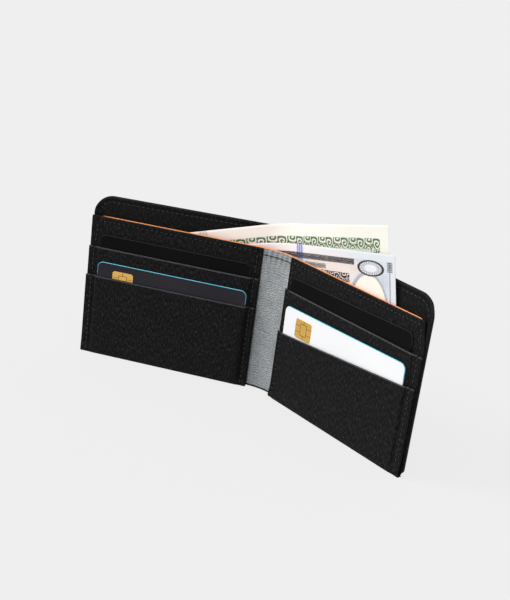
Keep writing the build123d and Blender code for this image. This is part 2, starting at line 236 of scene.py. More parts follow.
@dataclass(frozen=True)
class Outline:
    """Rectangle with rounded corners, cut from a flat layer.

    Attributes:
        left: lowest coordinate along the layer.
        right: highest coordinate along the layer.
        bottom: lowest height.
        top: highest height.
        corners: radii at bottom left, bottom right, top right and top left.
    """

    left: float
    right: float
    bottom: float
    top: float
    corners: tuple[float, float, float, float] = (0.0, 0.0, 0.0, 0.0)

    def inset(self, across: Array, height: Array) -> Array:
        """Distance from the border, before round() is applied."""
        sides = np.minimum(across - self.left, self.right - across)
        return np.minimum(sides, np.minimum(height - self.bottom, self.top - height))

    def round(self, across: Array, height: Array) -> tuple[Array, Array]:
        """Turns the square corners of a grid into round ones.

        In each corner's square, with p and q from 0 at the arc's centre to 1 at the sides, the
        larger of the two becomes the distance from the centre and their ratio the angle, so grid
        lines stay parallel to the border.

        Args:
            across: grid of coordinates along the layer.
            height: grid of heights.

        Returns:
            The two grids with rounded corners.
        """
        across, height = (a.copy() for a in np.broadcast_arrays(across, height))
        places = (
            (self.left, self.bottom, -1, -1),
            (self.right, self.bottom, 1, -1),
            (self.right, self.top, 1, 1),
            (self.left, self.top, -1, 1),
        )
        for radius, (x, z, toward_x, toward_z) in zip(self.corners, places, strict=True):
            if radius == 0:
                continue
            centre_x, centre_z = x - toward_x * radius, z - toward_z * radius
            p = (across - centre_x) * toward_x / radius
            q = (height - centre_z) * toward_z / radius
            inside = (p > 0) & (q > 0)
            far = np.maximum(p, q)
            ratio = np.minimum(p, q) / np.maximum(far, 1e-9)
            turn = np.where(p >= q, ratio, 2 - ratio) * math.pi / 4
            across[inside] = (centre_x + toward_x * radius * far * np.cos(turn))[inside]
            height[inside] = (centre_z + toward_z * radius * far * np.sin(turn))[inside]
        return across, height


@dataclass
class Shell:
    """A closed mesh under construction.

    Attributes:
        points: vertices, mm.
        faces: corner indices, four to a face.
        pattern: place on the flat pattern piece for each vertex, mm.
        masks: named values for each vertex, which materials read.
    """

    points: Array
    faces: Array
    pattern: Array
    masks: Masks

    @staticmethod
    def joined(shells: list["Shell"]) -> "Shell":
        """One shell from several, as separate parts of one mesh."""
        starts = np.cumsum([0] + [len(s.points) for s in shells[:-1]])
        return Shell(
            np.concatenate([s.points for s in shells]),
            np.concatenate([s.faces + n for s, n in zip(shells, starts, strict=True)]),
            np.concatenate([s.pattern for s in shells]),
            {k: np.concatenate([s.masks[k] for s in shells]) for k in shells[0].masks},
        )

    def piece(self, name: str, finish: "Finish") -> Piece:
        """Makes the object in metres, smooth, with its pattern as a UV map and its masks.

        Args:
            name: the piece's name.
            finish: its only material.

        Returns:
            The object, linked to the scene, at the origin.
        """
        mesh = bpy.data.meshes.new(name)
        mesh.vertices.add(len(self.points))
        mesh.vertices.foreach_set("co", (self.points * MM).astype(np.float32).ravel())
        corners = self.faces.astype(np.int32).ravel()
        mesh.loops.add(len(corners))
        mesh.loops.foreach_set("vertex_index", corners)
        mesh.polygons.add(len(self.faces))
        mesh.polygons.foreach_set("loop_start", np.arange(len(self.faces), dtype=np.int32) * 4)
        mesh.update(calc_edges=True)
        mesh.polygons.foreach_set("use_smooth", np.ones(len(self.faces), bool))
        layer = mesh.uv_layers.new(name="Pattern")
        layer.data.foreach_set("uv", self.pattern[corners].astype(np.float32).ravel())
        for key, values in self.masks.items():
            attribute = mesh.attributes.new(key, "FLOAT", "POINT")
            attribute.data.foreach_set("value", values.astype(np.float32))
        mesh.materials.append(finish.material())
        mesh.update()
        made = bpy.data.objects.new(name, mesh)
        bpy.context.scene.collection.objects.link(made)
        return made


def grid_faces(rows: int, columns: int, closed: bool = False) -> Array:
    """Faces of a grid of vertices that are numbered row by row.

    Args:
        rows: number of rows.
        columns: number of columns.
        closed: joins the last column to the first.

    Returns:
        Four corners for each face, turning anticlockwise where columns run right and rows up.
    """
    wide = columns if closed else columns - 1
    row, column = np.meshgrid(np.arange(rows - 1), np.arange(wide), indexing="ij")
    after = (column + 1) % columns
    corners = (row * columns + column, row * columns + after)
    upper = ((row + 1) * columns + after, (row + 1) * columns + column)
    return np.stack([*corners, *upper], axis=-1).reshape(-1, 4)


def closed_sheet(
    front: Array, back: Array, pattern: Array, masks: Masks, bulge: float, steps: int = 4
) -> Shell:
    """A layer with thickness: two grids of points and a rounded rim that joins their borders.

    The rim is a fan of rings between the two borders. At turn t from 0 to half a circle a ring lies
    (1 - cos t) / 2 of the way to the back, and bulge * sin t outside the border.

    Args:
        front: rows x columns x 3 points of the side that is looked at.
        back: the same for the other side.
        pattern: rows x columns x 2 places on the pattern piece.
        masks: rows x columns values by name.
        bulge: how far the rim stands out, mm.
        steps: faces across the rim.

    Returns:
        The closed shell.
    """
    rows, columns = front.shape[:2]
    r, c = np.arange(rows), np.arange(columns)
    ring_r = np.concatenate([np.zeros(columns - 1, int), r[:-1], np.full(columns - 1, rows - 1), r[:0:-1]])
    ring_c = np.concatenate([c[:-1], np.full(rows - 1, columns - 1), c[:0:-1], np.zeros(rows - 1, int)])
    inner = (np.clip(ring_r, 1, rows - 2), np.clip(ring_c, 1, columns - 2))
    border = (ring_r, ring_c)

    def outward(grid: Array) -> Array:
        """Unit vectors from just inside the border to the border."""
        step = grid[border] - grid[inner]
        return step / np.maximum(np.linalg.norm(step, axis=-1, keepdims=True), 1e-9)

    away = outward(front) + outward(back)
    away /= np.maximum(np.linalg.norm(away, axis=-1, keepdims=True), 1e-9)
    flat_away = outward(pattern)
    turns = np.linspace(0, math.pi, steps + 1)[1:-1, None, None]
    share = (1 - np.cos(turns)) / 2
    rings = front[border] * (1 - share) + back[border] * share + bulge * np.sin(turns) * away
    ring_pattern = pattern[border] + bulge * turns * flat_away
    size, ring = rows * columns, len(ring_r)
    corner = ring_r * columns + ring_c
    loops = [corner] + [2 * size + k * ring + np.arange(ring) for k in range(steps - 1)] + [size + corner]
    rim = [np.stack([a, b, np.roll(b, -1), np.roll(a, -1)], axis=-1) for a, b in zip(loops, loops[1:])]
    faces = grid_faces(rows, columns)
    return Shell(
        np.concatenate([front.reshape(-1, 3), back.reshape(-1, 3), rings.reshape(-1, 3)]),
        np.concatenate([faces, faces[:, ::-1] + size, *rim]),
        np.concatenate([pattern.reshape(-1, 2)] * 2 + [ring_pattern.reshape(-1, 2)]),
        {k: np.concatenate([m.ravel()] * 2 + [np.tile(m[border], steps - 1)]) for k, m in masks.items()},
    )


def stitch_row(centres: Array, along: Array, outward: Array, length: float = 2.0) -> Shell:
    """Short capsules of thread that arch out of the cloth and dive back in at both ends.

    A capsule is six rings of six points. At share t from -1 to 1 along it, the ring's radius
    is r * sqrt(1 - 0.85 t^2) and its middle rises by h * (1 - t^2) over its sunken ends.

    Args:
        centres: one middle point for each stitch, on the cloth, mm.
        along: unit vectors of the seam.
        outward: unit vectors out of the cloth.
        length: of a stitch, mm.

    Returns:
        One shell that holds all the stitches.
    """
    rings, sides = 6, 6
    radius, rise, sink = 0.21, 0.17, 0.10
    across = np.cross(along, outward)
    t = np.linspace(-1, 1, rings)[:, None]
    turn = np.arange(sides) * 2 * math.pi / sides
    girth = radius * np.sqrt(1 - 0.85 * t**2)
    local = np.stack(
        np.broadcast_arrays(
            t * length / 2,
            girth * np.cos(turn),
            girth * np.sin(turn) + rise * (1 - t**2) - sink,
        ),
        axis=-1,
    ).reshape(-1, 3)
    basis = np.stack([along, across, outward], axis=1)
    points = centres[:, None] + np.einsum("vk,skj->svj", local, basis)
    tube = grid_faces(rings, sides, closed=True)
    quads = np.array([[0, 1, 2, 3], [0, 3, 4, 5]])
    ends = np.concatenate([quads[:, ::-1], quads + (rings - 1) * sides])
    one = np.concatenate([tube, ends])
    count = rings * sides
    starts = np.arange(len(centres))[:, None, None] * count
    flat = np.stack([local[:, 0], np.tile(turn, rings) * radius], axis=-1)
    drift = np.stack([np.arange(len(centres)) * STITCH_PITCH, np.zeros(len(centres))], axis=-1)
    return Shell(
        points.reshape(-1, 3),
        (one[None] + starts).reshape(-1, 4),
        (flat[None] + drift[:, None]).reshape(-1, 2),
        {},
    )


# ------------ shader groups
class Graph:
    """Short calls that lay out one node tree.

    Attributes:
        tree: the node tree.
    """

    def __init__(self, tree: Tree) -> None:
        """Starts on an empty tree."""
        self.tree = tree

    def feed(self, inputs: Sockets, values: dict) -> None:
        """Links outputs to input sockets, and sets those that get plain values.

        Args:
            inputs: the sockets.
            values: a value or an output socket for each, by name or index.
        """
        for key, value in values.items():
            if isinstance(value, Socket):
                self.tree.links.new(value, inputs[key])
            else:
                inputs[key].default_value = value

    def add(self, kind: str, inputs: dict | None = None, **settings: object) -> bpy.types.Node:
        """Adds a node.

        Args:
            kind: the node's type.
            inputs: what feed() puts into it.
            settings: properties of the node.

        Returns:
            The node.
        """
        node = self.tree.nodes.new(kind)
        for key, value in settings.items():
            setattr(node, key, value)
        self.feed(node.inputs, inputs or {})
        return node

    def group(self, tree: Tree, inputs: dict) -> Sockets:
        """Outputs of a shader group placed in the tree."""
        return self.add("ShaderNodeGroup", inputs, node_tree=tree).outputs

    def calc(self, operation: str, *values: object) -> Socket:
        """Output of a Math node."""
        return self.add("ShaderNodeMath", dict(enumerate(values)), operation=operation).outputs[0]

    def plus(self, a: object, b: object) -> Socket:
        """Sum of two values."""
        return self.calc("ADD", a, b)

    def minus(self, a: object, b: object) -> Socket:
        """First value less the second."""
        return self.calc("SUBTRACT", a, b)

    def times(self, a: object, b: object) -> Socket:
        """Product of two values."""
        return self.calc("MULTIPLY", a, b)

    def over(self, a: object, b: object) -> Socket:
        """First value divided by the second."""
        return self.calc("DIVIDE", a, b)

    def linear(self, value: object, factor: object, start: object) -> Socket:
        """Start plus factor times value."""
        return self.calc("MULTIPLY_ADD", value, factor, start)

    def size(self, value: object) -> Socket:
        """A value without its sign."""
        return self.calc("ABSOLUTE", value)

    def sine(self, value: object) -> Socket:
        """Sine of a value."""
        return self.calc("SINE", value)

    def least(self, a: object, b: object) -> Socket:
        """The smaller of two values."""
        return self.calc("MINIMUM", a, b)

    def most(self, a: object, b: object) -> Socket:
        """The larger of two values."""
        return self.calc("MAXIMUM", a, b)

    def length(self, x: object, z: object) -> Socket:
        """Distance from 0, 0."""
        return self.calc("SQRT", self.plus(self.times(x, x), self.times(z, z)))

    def mix(self, share: object, a: object, b: object, mode: str = "MIX") -> Socket:
        """Output of a colour Mix node."""
        inputs = {0: share, 6: a, 7: b}
        return self.add("ShaderNodeMix", inputs, data_type="RGBA", blend_type=mode).outputs[2]

    def fade(self, value: object, start: object, end: object) -> Socket:
        """Smooth share of the way of a value from start to end, held to 0..1."""
        inputs = {0: value, 1: start, 2: end}
        return self.add("ShaderNodeMapRange", inputs, interpolation_type="SMOOTHSTEP").outputs[0]

    def noise(self, place: object, scale: object, detail: float = 2.0, rough: float = 0.5) -> Socket:
        """Factor of a Noise texture."""
        inputs = {"Vector": place, "Scale": scale, "Detail": detail, "Roughness": rough}
        return self.add("ShaderNodeTexNoise", inputs).outputs[0]

    def turned(self, place: object, scale: Triple, turn: float = 0.0, move: Triple = (0, 0, 0)) -> Socket:
        """A pattern's coordinates after scaling, turning about Z and moving."""
        inputs = {"Vector": place, "Location": move, "Rotation": (0, 0, turn), "Scale": scale}
        return self.add("ShaderNodeMapping", inputs).outputs[0]

    def parts(self, place: object) -> tuple[Socket, Socket]:
        """X and Y of a vector."""
        node = self.add("ShaderNodeSeparateXYZ", {0: place})
        return node.outputs[0], node.outputs[1]

    def joined(self, x: object, y: object, z: object = 0.0) -> Socket:
        """Vector of three values."""
        return self.add("ShaderNodeCombineXYZ", {0: x, 1: y, 2: z}).outputs[0]

    def dimmed(self, colour: object, level: Socket) -> Socket:
        """A colour multiplied by a level."""
        return self.mix(1.0, colour, self.joined(level, level, level), "MULTIPLY")

    def relief(self, height: Socket, depth: float) -> Socket:
        """Normal of a relief that is depth mm deep."""
        return self.add("ShaderNodeBump", {"Height": height, "Distance": depth * MM}).outputs[0]

    def attribute(self, name: str) -> Socket:
        """Value of a mask of the mesh."""
        return self.add("ShaderNodeAttribute", attribute_name=name).outputs["Fac"]

    def pattern(self) -> Socket:
        """Place on the pattern piece, mm."""
        return self.add("ShaderNodeUVMap", uv_map="Pattern").outputs[0]

    def own_place(self) -> Socket:
        """Place in the object's own coordinates, m."""
        return self.add("ShaderNodeTexCoord").outputs["Object"]


GroupParts = tuple[Tree, Graph, Sockets, Sockets]


def new_group(name: str, inputs: Inputs, *outputs: str) -> GroupParts:
    """An empty shader group whose first input is Place, a vector.

    Args:
        name: the group's name.
        inputs: default value of each other input by name; a tuple makes a vector.
        outputs: names of its outputs, all numbers.

    Returns:
        The group, its Graph, and the sockets that its inputs and its outputs have inside it.
    """
    group = bpy.data.node_groups.new(name, "ShaderNodeTree")
    for key, value in {"Place": (0.0, 0.0, 0.0), **inputs}.items():
        kind = "NodeSocketVector" if isinstance(value, tuple) else "NodeSocketFloat"
        group.interface.new_socket(key, in_out="INPUT", socket_type=kind).default_value = value
    for key in outputs:
        group.interface.new_socket(key, in_out="OUTPUT", socket_type="NodeSocketFloat")
    graph = Graph(group)
    return group, graph, graph.add("NodeGroupInput").outputs, graph.add("NodeGroupOutput").inputs


@functools.cache
def weave_group() -> Tree:
    """Plain weave of round yarns.

    Across and up the cloth the yarns are |sin| ridges. The sign of the product of the two sines says
    which yarn is on top. A little noise keeps the yarns from being ruled lines.

    Returns:
        Group with inputs Place, Warp and Weft (mm from yarn to yarn) and Wander (mm), and outputs
        Height, Gap and Rib, the last being 1 between two crosswise yarns.
    """
    sizes = {"Warp": 0.5, "Weft": 0.5, "Wander": 0.1}
    group, g, given, out = new_group("Plain weave", sizes, "Height", "Gap", "Rib")
    place = given["Place"]
    x, z = g.parts(place)
    sway = g.noise(place, 0.35, 2.0)
    lift = g.noise(g.turned(place, (1, 1, 1), 0.6, (31, 17, 0)), 0.3, 2.0)
    x = g.plus(x, g.times(g.minus(sway, 0.5), given["Wander"]))
    z = g.plus(z, g.times(g.minus(lift, 0.5), given["Wander"]))
    a = g.sine(g.over(g.times(x, math.pi), given["Warp"]))
    b = g.sine(g.over(g.times(z, math.pi), given["Weft"]))
    warp_on_top = g.fade(g.times(a, b), -0.12, 0.12)
    round_a, round_b = (g.calc("POWER", g.size(wave), 0.6) for wave in (a, b))
    warp = g.times(round_a, g.linear(round_b, 0.4, 0.6))
    weft = g.times(round_b, g.linear(round_a, 0.4, 0.6))
    height = g.plus(g.times(warp, warp_on_top), g.times(weft, g.minus(1.0, warp_on_top)))
    gap = g.minus(1.0, g.fade(height, 0.0, 0.55))
    g.feed(out, {"Height": height, "Rib": g.fade(g.size(b), 0.95, 0.1), "Gap": gap})
    return group


@functools.cache
def slub_group() -> Tree:
    """Thick and thin places of spun yarn, as short streaks along it.

    Two noises are squeezed across the yarn and drawn out along it, slightly turned against each
    other, and only their crests are kept.

    Returns:
        Group with inputs Place, Width and Length (mm), and outputs Streak and Dip.
    """
    group, g, given, out = new_group("Slubs", {"Width": 0.45, "Length": 2.4}, "Streak", "Dip")
    crests = []
    for turn, shift in ((0.10, 0.0), (-0.07, 53.0)):
        x, z = g.parts(g.turned(given["Place"], (1, 1, 1), turn, (shift, shift, 0)))
        drawn_out = g.joined(g.over(x, given["Width"]), g.over(z, given["Length"]))
        crests.append(g.noise(drawn_out, 1.0, 3.0, 0.6))
    both = g.times(g.plus(*crests), 0.5)
    g.feed(out, {"Streak": g.fade(both, 0.48, 0.62), "Dip": g.fade(both, 0.52, 0.40)})
    return group


@functools.cache
def mottle_group() -> Tree:
    """Broad cloudy unevenness, such as handling leaves.

    Returns:
        Group with inputs Place and Size (mm), and output Cloud, about 0.5 on average.
    """
    group, g, given, out = new_group("Mottle", {"Size": 12.0}, "Cloud")
    g.feed(out, {"Cloud": g.noise(given["Place"], g.over(1.0, given["Size"]), 4.0, 0.6)})
    return group


@functools.cache
def wear_and_highlight_group() -> Tree:
    """Rubbed edges with a painted highlight: a mask that is 1 at a folded edge, broken up by noise.

    Returns:
        Group with inputs Place, Edge and Amount, and one output, the rubbed edge with its painted highlight.
    """
    group, g, given, out = new_group("Edge wear", {"Edge": 0.0, "Amount": 0.5}, "Worn and lit")
    broken = g.fade(g.noise(given["Place"], 0.9, 3.0, 0.65), 0.25, 0.6)
    sharp = g.calc("POWER", given["Edge"], 1.6)
    patchy = g.times(sharp, g.linear(broken, 0.55, 0.45))
    g.feed(out, {"Worn and lit": g.times(patchy, given["Amount"])})
    return group


@functools.cache
def scroll_group() -> Tree:
    """Engraved scrollwork: a spiral in every cell of a row of cells, with leaves between them.

    In each cell, with r and t the polar coordinates about its middle, the line is where
    sin(2 pi (turns * r - t / 2 pi)) is near zero, so it winds outwards once a turn.

    Returns:
        Group with inputs Place, Cell (mm) and Line (0..1), and output Ink.
    """
    group, g, given, out = new_group("Scrollwork", {"Cell": 6.0, "Line": 0.5}, "Ink")
    u, v = (g.over(part, given["Cell"]) for part in g.parts(given["Place"]))
    v = g.plus(v, g.times(g.sine(g.times(u, math.pi)), 0.22))
    cell_u, cell_v = (g.minus(g.calc("FRACT", part), 0.5) for part in (u, v))
    turn = g.over(g.calc("ARCTAN2", cell_v, cell_u), 2 * math.pi)
    wind = g.minus(g.times(g.length(cell_u, cell_v), 3.2), turn)
    curl = g.size(g.sine(g.times(wind, math.pi)))
    leaf = g.noise(given["Place"], 0.9, 3.0, 0.7)
    drawn = g.plus(curl, g.times(g.minus(leaf, 0.5), 0.7))
    g.feed(out, {"Ink": g.fade(drawn, given["Line"], g.plus(given["Line"], 0.25))})
    return group


@functools.cache
def engraving_group() -> Tree:
    """Fine engraved field: two families of waved lines that cross.

    Returns:
        Group with inputs Place, Pitch (mm) and Wave (mm), and output Ink.
    """
    group, g, given, out = new_group("Engraved lines", {"Pitch": 0.6, "Wave": 1.2}, "Ink")
    x, z = g.parts(given["Place"])
    inks = []
    for pace, phase in ((0.55, 0.0), (-0.8, 1.3)):
        bend = g.sine(g.linear(x, pace, phase))
        level = g.plus(z, g.times(bend, given["Wave"]))
        stroke = g.sine(g.over(g.times(level, 2 * math.pi), given["Pitch"]))
        inks.append(g.fade(stroke, 0.2, 0.8))
    g.feed(out, {"Ink": g.most(*inks)})
    return group


@functools.cache
def rosette_group() -> Tree:
    """Guilloche rosette: an oval of crossing petals with a clear middle.

    With r and t the polar coordinates, scaled so that r is 1 on the oval's rim, the petals are
    |sin(n t + 9 r)| and |sin(n t - 9 r)|.

    Returns:
        Group with inputs Place, Middle, Half width, Half height and Petals, and outputs Ink and
        Inside.
    """
    sizes = {"Middle": (0.0, 0.0, 0.0), "Half width": 6.0, "Half height": 4.0, "Petals": 9.0}
    group, g, given, out = new_group("Rosette", sizes, "Ink", "Inside")
    away = g.add("ShaderNodeVectorMath", {0: given["Place"], 1: given["Middle"]}, operation="SUBTRACT")
    x, z = g.parts(away.outputs[0])
    x, z = g.over(x, given["Half width"]), g.over(z, given["Half height"])
    far = g.length(x, z)
    turn = g.times(g.calc("ARCTAN2", z, x), given["Petals"])
    waves = [g.size(g.sine(g.plus(turn, g.times(far, way)))) for way in (9.0, -9.0)]
    petals = g.times(g.most(*(g.fade(wave, 0.45, 0.1) for wave in waves)), g.fade(far, 0.42, 0.5))
    rim = g.fade(g.size(g.minus(far, 0.9)), 0.12, 0.05)
    inside = g.fade(far, 1.05, 0.97)
    g.feed(out, {"Ink": g.times(g.most(petals, rim), inside), "Inside": inside})
    return group


# ------------ finishes
def shade(red: float, green: float, blue: float) -> Colour:
    """Linear colour from display values of 0 to 255."""
    display = (red / 255, green / 255, blue / 255)
    linear = [c / 12.92 if c <= 0.04045 else ((c + 0.055) / 1.055) ** 2.4 for c in display]
    return (*linear, 1.0)


@dataclass(frozen=True)
class Finish:
    """A material that is made once, under its own name.

    Attributes:
        name: the material's name.
    """

    name: str

    def material(self) -> bpy.types.Material:
        """The finish's material, made when it is first asked for."""
        return bpy.data.materials.get(self.name) or self.make()

    def make(self) -> bpy.types.Material:
        """Builds the material: a Principled BSDF that surface() feeds."""
        made = bpy.data.materials.new(self.name)
        made.use_nodes = True
        made.node_tree.nodes.clear()
        g = Graph(made.node_tree)
        skin = g.add("ShaderNodeBsdfPrincipled")
        g.add("ShaderNodeOutputMaterial", {"Surface": skin.outputs[0]})
        g.feed(skin.inputs, self.surface(g))
        return made

    def surface(self, g: Graph) -> Inputs:
        """Value or output socket for each input of the Principled BSDF that it sets."""
        raise NotImplementedError


@dataclass(frozen=True)
class ClothFinish(Finish):
    """Woven cloth.

    Attributes:
        yarn: colour of the yarns.
        light_yarn: colour of their thick places.
        gap: colour between them.
        rubbed_highlight: colour of worn folds, partly a painted highlight.
        hollow_shade: colour of painted shade in needle holes, in furrows under the thread and wherever the
            shade mask is set.
        warp: mm from yarn to yarn across the cloth.
        weft: mm from yarn to yarn up the cloth.
        slub: share of the streaks that shows.
        streak_length: mm.
        gap_depth: share of the gap colour that shows.
        wear_and_highlight: share of the worn colour, with its painted highlight, on folds.
        rib: share of the gap colour between crosswise yarns.
        wander: how far yarns stray, mm.
        relief: height of the weave, mm.
        roughness: of the yarns.
        sheen: weight of the fuzz.
    """

    yarn: Colour
    light_yarn: Colour
    gap: Colour
    rubbed_highlight: Colour
    hollow_shade: Colour = (0.0015, 0.0015, 0.0016, 1.0)
    warp: float = 0.45
    weft: float = 0.5
    slub: float = 0.8
    streak_length: float = 2.4
    gap_depth: float = 0.6
    wear_and_highlight: float = 0.6
    rib: float = 0.0
    wander: float = 0.4
    relief: float = 0.10
    roughness: float = 0.86
    sheen: float = 0.01

    def surface(self, g: Graph) -> Inputs:
        """Yarn colour with streaks, gaps and clouds, worn folds with a painted highlight, and painted shade
        where the shade mask is set, over a woven relief.
        """
        place = g.pattern()
        sizes = {"Warp": self.warp, "Weft": self.weft, "Wander": self.wander}
        weave = g.group(weave_group(), {"Place": place, **sizes})
        slubs = g.group(slub_group(), {"Place": place, "Length": self.streak_length})
        cloud = g.group(mottle_group(), {"Place": place})["Cloud"]
        # The fold mask marks worn folded edges. Their colour is partly wear and partly a painted highlight.
        edges = {"Edge": g.attribute("fold"), "Amount": self.wear_and_highlight}
        worn_and_lit = g.group(wear_and_highlight_group(), {"Place": place, **edges})["Worn and lit"]
        streak = slubs["Streak"]
        colour = g.mix(g.times(streak, self.slub), self.yarn, self.light_yarn)
        colour = g.mix(g.times(slubs["Dip"], self.slub * 0.55), colour, self.gap)
        colour = g.mix(g.times(weave["Gap"], self.gap_depth), colour, self.gap)
        colour = g.mix(g.times(weave["Rib"], self.rib), colour, self.gap)
        colour = g.dimmed(colour, g.linear(cloud, 0.7, 0.65))
        colour = g.mix(worn_and_lit, colour, self.rubbed_highlight)
        return {
            # The shade mask paints shade: needle holes, furrows, creases, valleys and shadowed edges.
            "Base Color": g.mix(g.attribute("shade"), colour, self.hollow_shade),
            "Roughness": g.linear(streak, -0.12, self.roughness),
            "Normal": g.relief(g.linear(streak, 1.6, weave["Height"]), self.relief),
            "Specular IOR Level": 0.12,
            "Sheen Weight": self.sheen,
            "Sheen Roughness": 0.5,
        }


@dataclass(frozen=True)
class ThreadFinish(Finish):
    """Twisted sewing thread.

    Attributes:
        strand: colour of the strands.
        groove: colour between them.
    """

    strand: Colour
    groove: Colour

    def surface(self, g: Graph) -> Inputs:
        """Slanted strands, as a wave of the place along the stitch plus the place round it."""
        x, z = g.parts(g.pattern())
        strand = g.fade(g.sine(g.plus(g.times(x, 9.0), g.times(z, 8.0))), -0.6, 0.7)
        fuzz = g.noise(g.pattern(), 6.0, 3.0)
        colour = g.mix(strand, self.groove, self.strand)
        return {
            "Base Color": g.mix(g.times(fuzz, 0.4), colour, self.groove),
            "Roughness": g.linear(fuzz, 0.2, 0.45),
            "Normal": g.relief(strand, 0.04),
            "Sheen Weight": 0.05,
        }


@dataclass(frozen=True)
class CardFinish(Finish):
    """Printed plastic card.

    Attributes:
        face: colour of the print.
        tint: colour that the print drifts to.
        core: colour of the card's edge, its core, which on the matt black card is a painted highlight.
        core_share: how much of the edge shows it.
        roughness: of the face.
        coat: weight of the clear film.
        gloss: specular level.
    """

    face: Colour
    tint: Colour
    core: Colour
    core_share: float
    roughness: float
    coat: float
    gloss: float = 0.3

    def surface(self, g: Graph) -> Inputs:
        """Face colour with a slow drift and fine brushing, and the card's edge colour along the edge, which
        on the matt black card is a painted highlight.
        """
        place = g.pattern()
        drift = g.noise(g.turned(place, (0.02, 0.03, 1), 0.5), 1.0, 1.0)
        brush = g.noise(g.turned(place, (0.15, 7.0, 1), 0.2), 1.0, 3.0)
        grain = g.noise(place, 9.0, 2.0)
        colour = g.mix(g.fade(drift, 0.35, 0.65), self.face, self.tint)
        colour = g.mix(g.times(brush, 0.35), colour, self.tint)
        rim = g.times(g.fade(g.attribute("rim"), 0.35, 0.65), self.core_share)
        return {
            "Base Color": g.mix(rim, colour, self.core),
            "Roughness": g.linear(grain, 0.12, self.roughness - 0.06),
            "Normal": g.relief(grain, 0.006),
            "Coat Weight": self.coat,
            "Coat Roughness": 0.25,
            "Specular IOR Level": self.gloss,
        }


@dataclass(frozen=True)
class ContactFinish(Finish):
    """Gold-plated contacts with dark isolating grooves.

    Attributes:
        plate: colour of the plating.
        brushed: colour of its brush marks.
        groove: colour of the isolating lines.
    """

    plate: Colour
    brushed: Colour
    groove: Colour

    def surface(self, g: Graph) -> Inputs:
        """Metal with fine brushing; the mask "groove" turns it to dull resin."""
        brush = g.noise(g.turned(g.pattern(), (0.6, 14.0, 1)), 1.0, 3.0)
        mask = g.fade(g.attribute("groove"), 0.3, 0.7)
        colour = g.mix(g.times(brush, 0.3), self.plate, self.brushed)
        return {
            "Base Color": g.mix(mask, colour, self.groove),
            "Metallic": g.minus(1.0, mask),
            "Roughness": g.linear(brush, 0.25, g.linear(mask, 0.3, 0.18)),
            "Normal": g.relief(brush, 0.004),
        }


@dataclass(frozen=True)
class BoardFinish(Finish):
    """Grey stiffening board between the cover's layers.

    Attributes:
        pulp: colour of the board.
        fibre: colour of its fibres.
    """

    pulp: Colour
    fibre: Colour

    def surface(self, g: Graph) -> Inputs:
        """Pulp with drawn-out fibre flecks."""
        fleck = g.noise(g.turned(g.own_place(), (300, 300, 1400)), 1.0, 4.0)
        return {
            "Base Color": g.mix(g.fade(fleck, 0.45, 0.7), self.pulp, self.fibre),
            "Roughness": g.linear(fleck, 0.2, 0.75),
            "Normal": g.relief(fleck, 0.05),
        }


@dataclass(frozen=True)
class PrintedBand:
    """A row of scrollwork on a note.

    Attributes:
        left: where it starts, mm from the sheet's middle.
        right: where it ends.
        bottom: its lower border.
        top: its upper border.
        cell: size of one scroll, mm.
        line: from 0 to 1, how little of the band the scrolls fill.
        ground: share of ink behind the scrolls.
        scroll: share of ink in the scrolls.
    """

    left: float
    right: float
    bottom: float
    top: float
    cell: float
    line: float
    ground: float
    scroll: float

    def ink(self, g: Graph, place: Socket) -> Socket:
        """Share of ink at a place: the ground's or the scrolls' inside the band, 0 outside."""
        x, z = g.parts(place)
        ends = g.least(g.minus(x, self.left), g.minus(self.right, x))
        sides = g.least(g.minus(z, self.bottom), g.minus(self.top, z))
        inside = g.fade(g.least(ends, sides), -0.1, 0.15)
        sizes = {"Cell": self.cell, "Line": self.line}
        scroll = g.group(scroll_group(), {"Place": place, **sizes})["Ink"]
        return g.times(inside, g.linear(scroll, self.scroll - self.ground, self.ground))


@dataclass(frozen=True)
class PrintedOval:
    """A rosette or an oval field on a note.

    Attributes:
        middle: its place from the sheet's middle, mm.
        half: half width and half height, mm.
        petals: number of petals of its guilloche.
        fill: colour inside.
        cover: share of the fill.
        line: share of ink in its lines.
    """

    middle: Pair
    half: Pair
    petals: float
    fill: Colour
    cover: float
    line: float

    def printed(self, g: Graph, place: Socket, colour: Socket, ink: Colour) -> Socket:
        """Colour of a note with the oval's fill and its inked lines on it."""
        shape = {"Half width": self.half[0], "Half height": self.half[1], "Petals": self.petals}
        inputs = {"Place": place, "Middle": (*self.middle, 0.0), **shape}
        rosette = g.group(rosette_group(), inputs)
        filled = g.mix(g.times(rosette["Inside"], self.cover), colour, self.fill)
        return g.mix(g.times(rosette["Ink"], self.line), filled, ink)


